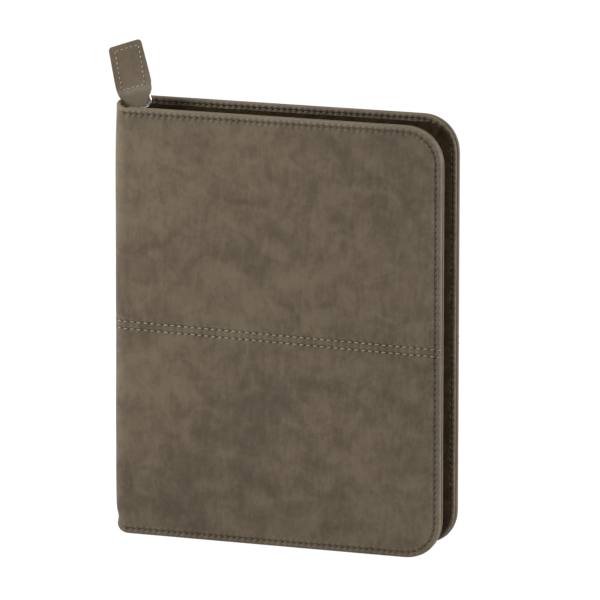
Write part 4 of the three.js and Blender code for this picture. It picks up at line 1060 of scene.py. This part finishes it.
TAB_FRAME = (Matrix.Translation(Vector(TAB_ORIGIN) * MM) @ Matrix.Rotation(math.radians(TAB_LEAN), 4, "X")
             @ Matrix.Rotation(math.radians(TAB_ROLL), 4, "Y"))


TAB_LEFT = ((-7, 5.0), (-5, 5.6), (-3, 6.2), (-1, 7.0), (1, 7.8), (3, 8.45), (5, 8.8), (7.5, 8.85),
            (TAB_TOP, 8.75))
TAB_RIGHT = ((-7, 6.0), (-4.5, 7.6), (-3, 8.6), (-1.8, 9.3), (-0.5, 10.1), (0.6, 10.8), (1.6, 11.1),
             (2.6, 11.1), (TAB_TOP, TAB_HALF))
TAB_CORNER = 1.9
TAB_TURN = math.radians(15)
TAB_SEAM_SIDE = 6.6
TAB_SEAM_LOW, TAB_SEAM_TOP = 4.2, 25.8


def follow(marks, value):
    """A value read off a list of (place, value) pairs, straight between them and held past the ends."""
    if value <= marks[0][0]:
        return marks[0][1]
    for (a, from_a), (b, to_b) in zip(marks, marks[1:]):
        if value <= b:
            return from_a + (to_b - from_a) * (value - a) / (b - a)
    return marks[-1][1]


def tab_half_width(z, outline):
    """Half of the tab's width on one side: a neck that swells to the full width, with a round top corner."""
    if z > TAB_TOP - TAB_CORNER:
        past = z - TAB_TOP + TAB_CORNER
        return follow(outline, z) - TAB_CORNER + math.sqrt(max(0.0, TAB_CORNER ** 2 - past ** 2))
    return follow(outline, z)


def tab_place(x, y, z):
    """A point of the tab in the planner's frame. The leather twists a little on its way up."""
    angle = TAB_TURN * smooth_step((z + 1) / 22)
    up = z + TAB_SLANT * x * smooth_step((z - 3) / 10)
    across = x + TAB_DRIFT * max(0.0, z - 4)
    cos, sin = math.cos(angle), math.sin(angle)
    return TAB_FRAME @ (Vector((across * cos - y * sin, across * sin + y * cos, up)) * MM)


def tab_outward(side, z):
    away = tab_place(0, side, z) - tab_place(0, 0, z)
    return away.normalized()


def make_tab(side, node, bottom):
    """One leather layer of the pull tab: side -1 is the front one, which runs down over the ring."""
    heights = [bottom, bottom + 0.6, 0.0, 1.0, 2.2, 3.4, 4.6, 6.0, 7.5, 24,
               *(TAB_TOP - d for d in (1.9, 1.3, 0.8, 0.5, 0.25, 0.1, 0))]
    rows = stations([h for h in heights if h >= bottom], 1.4)
    columns = stations([-1, -0.94, -0.86, -0.72, 0.72, 0.86, 0.94, 1], 0.16)
    bm = bmesh.new()
    flat_grid(bm, columns, rows)
    outward = {}
    for v in bm.verts:
        u, z = v.co.x, v.co.z
        narrow = 1.0 if side < 0 else 0.45 + 0.55 * smooth_step((z - bottom) / 4)
        half = tab_half_width(z, TAB_LEFT if u < 0 else TAB_RIGHT) * narrow
        lift = 1.1 - 0.95 * smooth_step((z - 0.8) / 4.2)
        bow = 0.12 * math.cos(u * math.pi / 2) * smooth_step((z - 4) / 6)
        bow += 0.06 * noise.noise(Vector((u * 1.5, side, z * 0.12)))
        inside = TAB_SEAM_LOW < z < TAB_SEAM_TOP
        seam = 0.12 * math.exp(-((abs(u * half - TAB_SEAM_SHIFT) - TAB_SEAM_SIDE) / 0.5) ** 2) * inside
        v.co = tab_place(TAB_SHIFT + u * half, side * (lift + 1.3 + bow - seam), z)
        outward[v] = tab_outward(side, z)
    face_outwards(bm, outward)
    made = piece(node + "_leather", bm, (TAB_LEATHER,), body="pull_tab", replaces=[node],
                 sharp=None)
    solidify(made, 1.3)
    round_edges(made, 0.38, 3, 50)


def make_tab_stitches():
    left, right = (TAB_SHIFT + TAB_SEAM_SHIFT + way * TAB_SEAM_SIDE for way in (-1, 1))
    corners = [(left, TAB_SEAM_LOW), (left, TAB_SEAM_TOP), (right, TAB_SEAM_TOP), (right, TAB_SEAM_LOW),
               (left, TAB_SEAM_LOW)]
    for side, name in ((-1, "tab_front"), (1, "tab_back")):
        threads = bmesh.new()
        hole_pits_and_shade = bmesh.new()
        for (xa, za), (xb, zb) in zip(corners, corners[1:]):
            reach = math.hypot(xb - xa, zb - za)
            pitch = reach / round(reach / 2.65)
            steps = 24
            line = []
            for k in range(steps + 1):
                x, z = xa + (xb - xa) * k / steps, za + (zb - za) * k / steps
                line.append((tab_place(x, side * 1.47, z), tab_outward(side, z)))
            sew(threads, line, pitch, 1.75, 0.62, lift=0.04)
            # Dark beads sunk under the leather at each needle hole: painted shade in the holes.
            sew(hole_pits_and_shade, line, pitch, 0.62, 0.5, lift=-0.08, first=1.0)
        for part, bm, material in (("_stitches", threads, TAN_THREAD), ("_hole_shade_beads", hole_pits_and_shade, NEEDLE_HOLE_SHADE)):
            piece(name + part, bm, (material,), body="pull_tab", sharp=None)


PULL_RING_SPREAD = 1.2


def make_pull_ring():
    """The slider's wire ring, smoothed and a little wider across than its CAD node."""
    bm = copy_of("pull_ring")
    low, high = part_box("pull_ring")
    middle = (low + high) / 2
    across = (TAB_FRAME.to_3x3() @ Vector((1, 0, 0))).normalized()
    for v in bm.verts:
        v.co += across * (v.co - middle).dot(across) * (PULL_RING_SPREAD - 1)
    soften(piece("pull_ring_wire", bm, (SATIN_NICKEL,), body="pull_link",
                 replaces=["pull_ring"], sharp=None), 2)


# Pieces

METAL_ROUNDINGS = {
    "zip_slider": 0.25, "ring_plate": 0.15, "upper_lever": 0.2, "lower_lever": 0.2, "upper_rivet": 0.1,
    "lower_rivet": 0.1, "front_bottom_stop": 0.2, "back_bottom_stop": 0.2,
}
CAD_FINISHES = {
    "front_cover_board": BOARD, "back_cover_board": BOARD, "spine_board": BOARD, "front_pages": PAPER,
    "back_pages": PAPER, "front_divider": CARD, "back_divider": CARD, "page_marker": PLASTIC,
}

for side in (-1, 1):
    make_wrap(side)
    make_edge_stitches(side)
    make_show_rows(side)
    make_facing(side)
    make_tape(side)
    make_chain(side)
make_spine_lining()
for node in ("card_pocket_1", "card_pocket_2", "card_pocket_3", "slip_pocket", "notepad_pocket"):
    make_pocket(node)
make_pen_loop()
make_half_rings(1, "back_jaw", "back_half_rings")
make_half_rings(-1, "front_jaw", "front_half_rings")
make_tab(-1, "pull_tab_front", -7.0)
make_tab(1, "pull_tab_back", 1.2)
make_tab_stitches()
for node, rounding in METAL_ROUNDINGS.items():
    make_metal(node, rounding)
make_pull_ring()

for node, material in CAD_FINISHES.items():
    slots = frame["nodes"][node].data.materials
    slots.clear()
    slots.append(material)


# Camera at the photograph's angle

AZIMUTH, ELEVATION = math.radians(18.35), math.radians(13.07)
CAMERA_DISTANCE = 3.7
LENS = 408.0
TARGET = Vector((0.004829, 0, 0.120))
SHIFT_RIGHT, SHIFT_UP = -0.00768, -0.01413


def make_camera():
    sin_a, cos_a = math.sin(AZIMUTH), math.cos(AZIMUTH)
    sin_e, cos_e = math.sin(ELEVATION), math.cos(ELEVATION)
    right = Vector((cos_a, sin_a, 0))
    up = Vector((-sin_a * sin_e, cos_a * sin_e, cos_e))
    ahead = Vector((-sin_a * cos_e, cos_a * cos_e, -sin_e))
    camera = bpy.data.objects.new("camera", bpy.data.cameras.new("camera"))
    bpy.context.scene.collection.objects.link(camera)
    camera.data.lens = LENS
    camera.data.sensor_width = 36
    camera.data.clip_end = 100
    turn = Matrix((right, up, -ahead)).transposed().to_4x4()
    place = TARGET - ahead * CAMERA_DISTANCE - right * SHIFT_RIGHT - up * SHIFT_UP
    camera.matrix_world = Matrix.Translation(place) @ turn
    bpy.context.scene.camera = camera


# Floor, lamps and world

def seen_directly(tree):
    """1 for what the camera, a reflection or a glass sees, 0 for the light that falls on the object."""
    path = tree.nodes.new("ShaderNodeLightPath")
    either = maths(tree, "MAXIMUM", path.outputs["Is Camera Ray"], path.outputs["Is Glossy Ray"])
    return maths(tree, "MAXIMUM", either, path.outputs["Is Transmission Ray"])


def make_floor():
    bm = bmesh.new()
    bmesh.ops.create_grid(bm, x_segments=1, y_segments=1, size=30)
    mesh = bpy.data.meshes.new("floor")
    bm.to_mesh(mesh)
    bm.free()
    floor = bpy.data.objects.new("floor", mesh)
    bpy.context.scene.collection.objects.link(floor)
    material = bpy.data.materials.new("white_floor")
    material.use_nodes = True
    tree = material.node_tree
    tree.nodes.clear()
    plain = add_node(tree, "ShaderNodeBsdfDiffuse", {"Color": (0.8, 0.8, 0.8, 1)})
    matt = add_node(tree, "ShaderNodeBsdfDiffuse", {"Color": (0.22, 0.22, 0.22, 1)})
    glow = add_node(tree, "ShaderNodeEmission", {"Color": (1, 1, 1, 1), "Strength": 0.92})
    both = tree.nodes.new("ShaderNodeAddShader")
    tree.links.new(matt.outputs[0], both.inputs[0])
    tree.links.new(glow.outputs[0], both.inputs[1])
    choose = tree.nodes.new("ShaderNodeMixShader")
    tree.links.new(seen_directly(tree), choose.inputs[0])
    tree.links.new(plain.outputs[0], choose.inputs[1])
    tree.links.new(both.outputs[0], choose.inputs[2])
    tree.links.new(choose.outputs[0], tree.nodes.new("ShaderNodeOutputMaterial").inputs[0])
    mesh.materials.append(material)


def make_world(ambient):
    world = bpy.data.worlds.new("studio")
    bpy.context.scene.world = world
    world.use_nodes = True
    tree = world.node_tree
    tree.nodes.clear()
    fill = add_node(tree, "ShaderNodeBackground", {"Color": (1, 1, 1, 1), "Strength": ambient})
    white = add_node(tree, "ShaderNodeBackground", {"Color": (1, 1, 1, 1), "Strength": 1.0})
    choose = tree.nodes.new("ShaderNodeMixShader")
    tree.links.new(seen_directly(tree), choose.inputs[0])
    tree.links.new(fill.outputs[0], choose.inputs[1])
    tree.links.new(white.outputs[0], choose.inputs[2])
    tree.links.new(choose.outputs[0], tree.nodes.new("ShaderNodeOutputWorld").inputs[0])


def make_lamp(name, place, size, power):
    """A square soft box that looks at the middle of the planner."""
    lamp = bpy.data.objects.new(name, bpy.data.lights.new(name, "AREA"))
    bpy.context.scene.collection.objects.link(lamp)
    lamp.data.size = size
    lamp.data.energy = power
    lamp.location = place
    lamp.rotation_euler = (Vector((0, 0, 0.12)) - Vector(place)).to_track_quat("-Z", "Y").to_euler()


make_camera()
make_floor()
make_world(0.26)
make_lamp("key", (-0.56, -0.35, 0.56), 0.4, 5.2)
make_lamp("side", (2.0, 0.5, 0.6), 1.0, 42)
make_lamp("top", (0.1, 0.4, 2.3), 1.2, 12)

bpy.context.scene.view_settings.view_transform = "Standard"
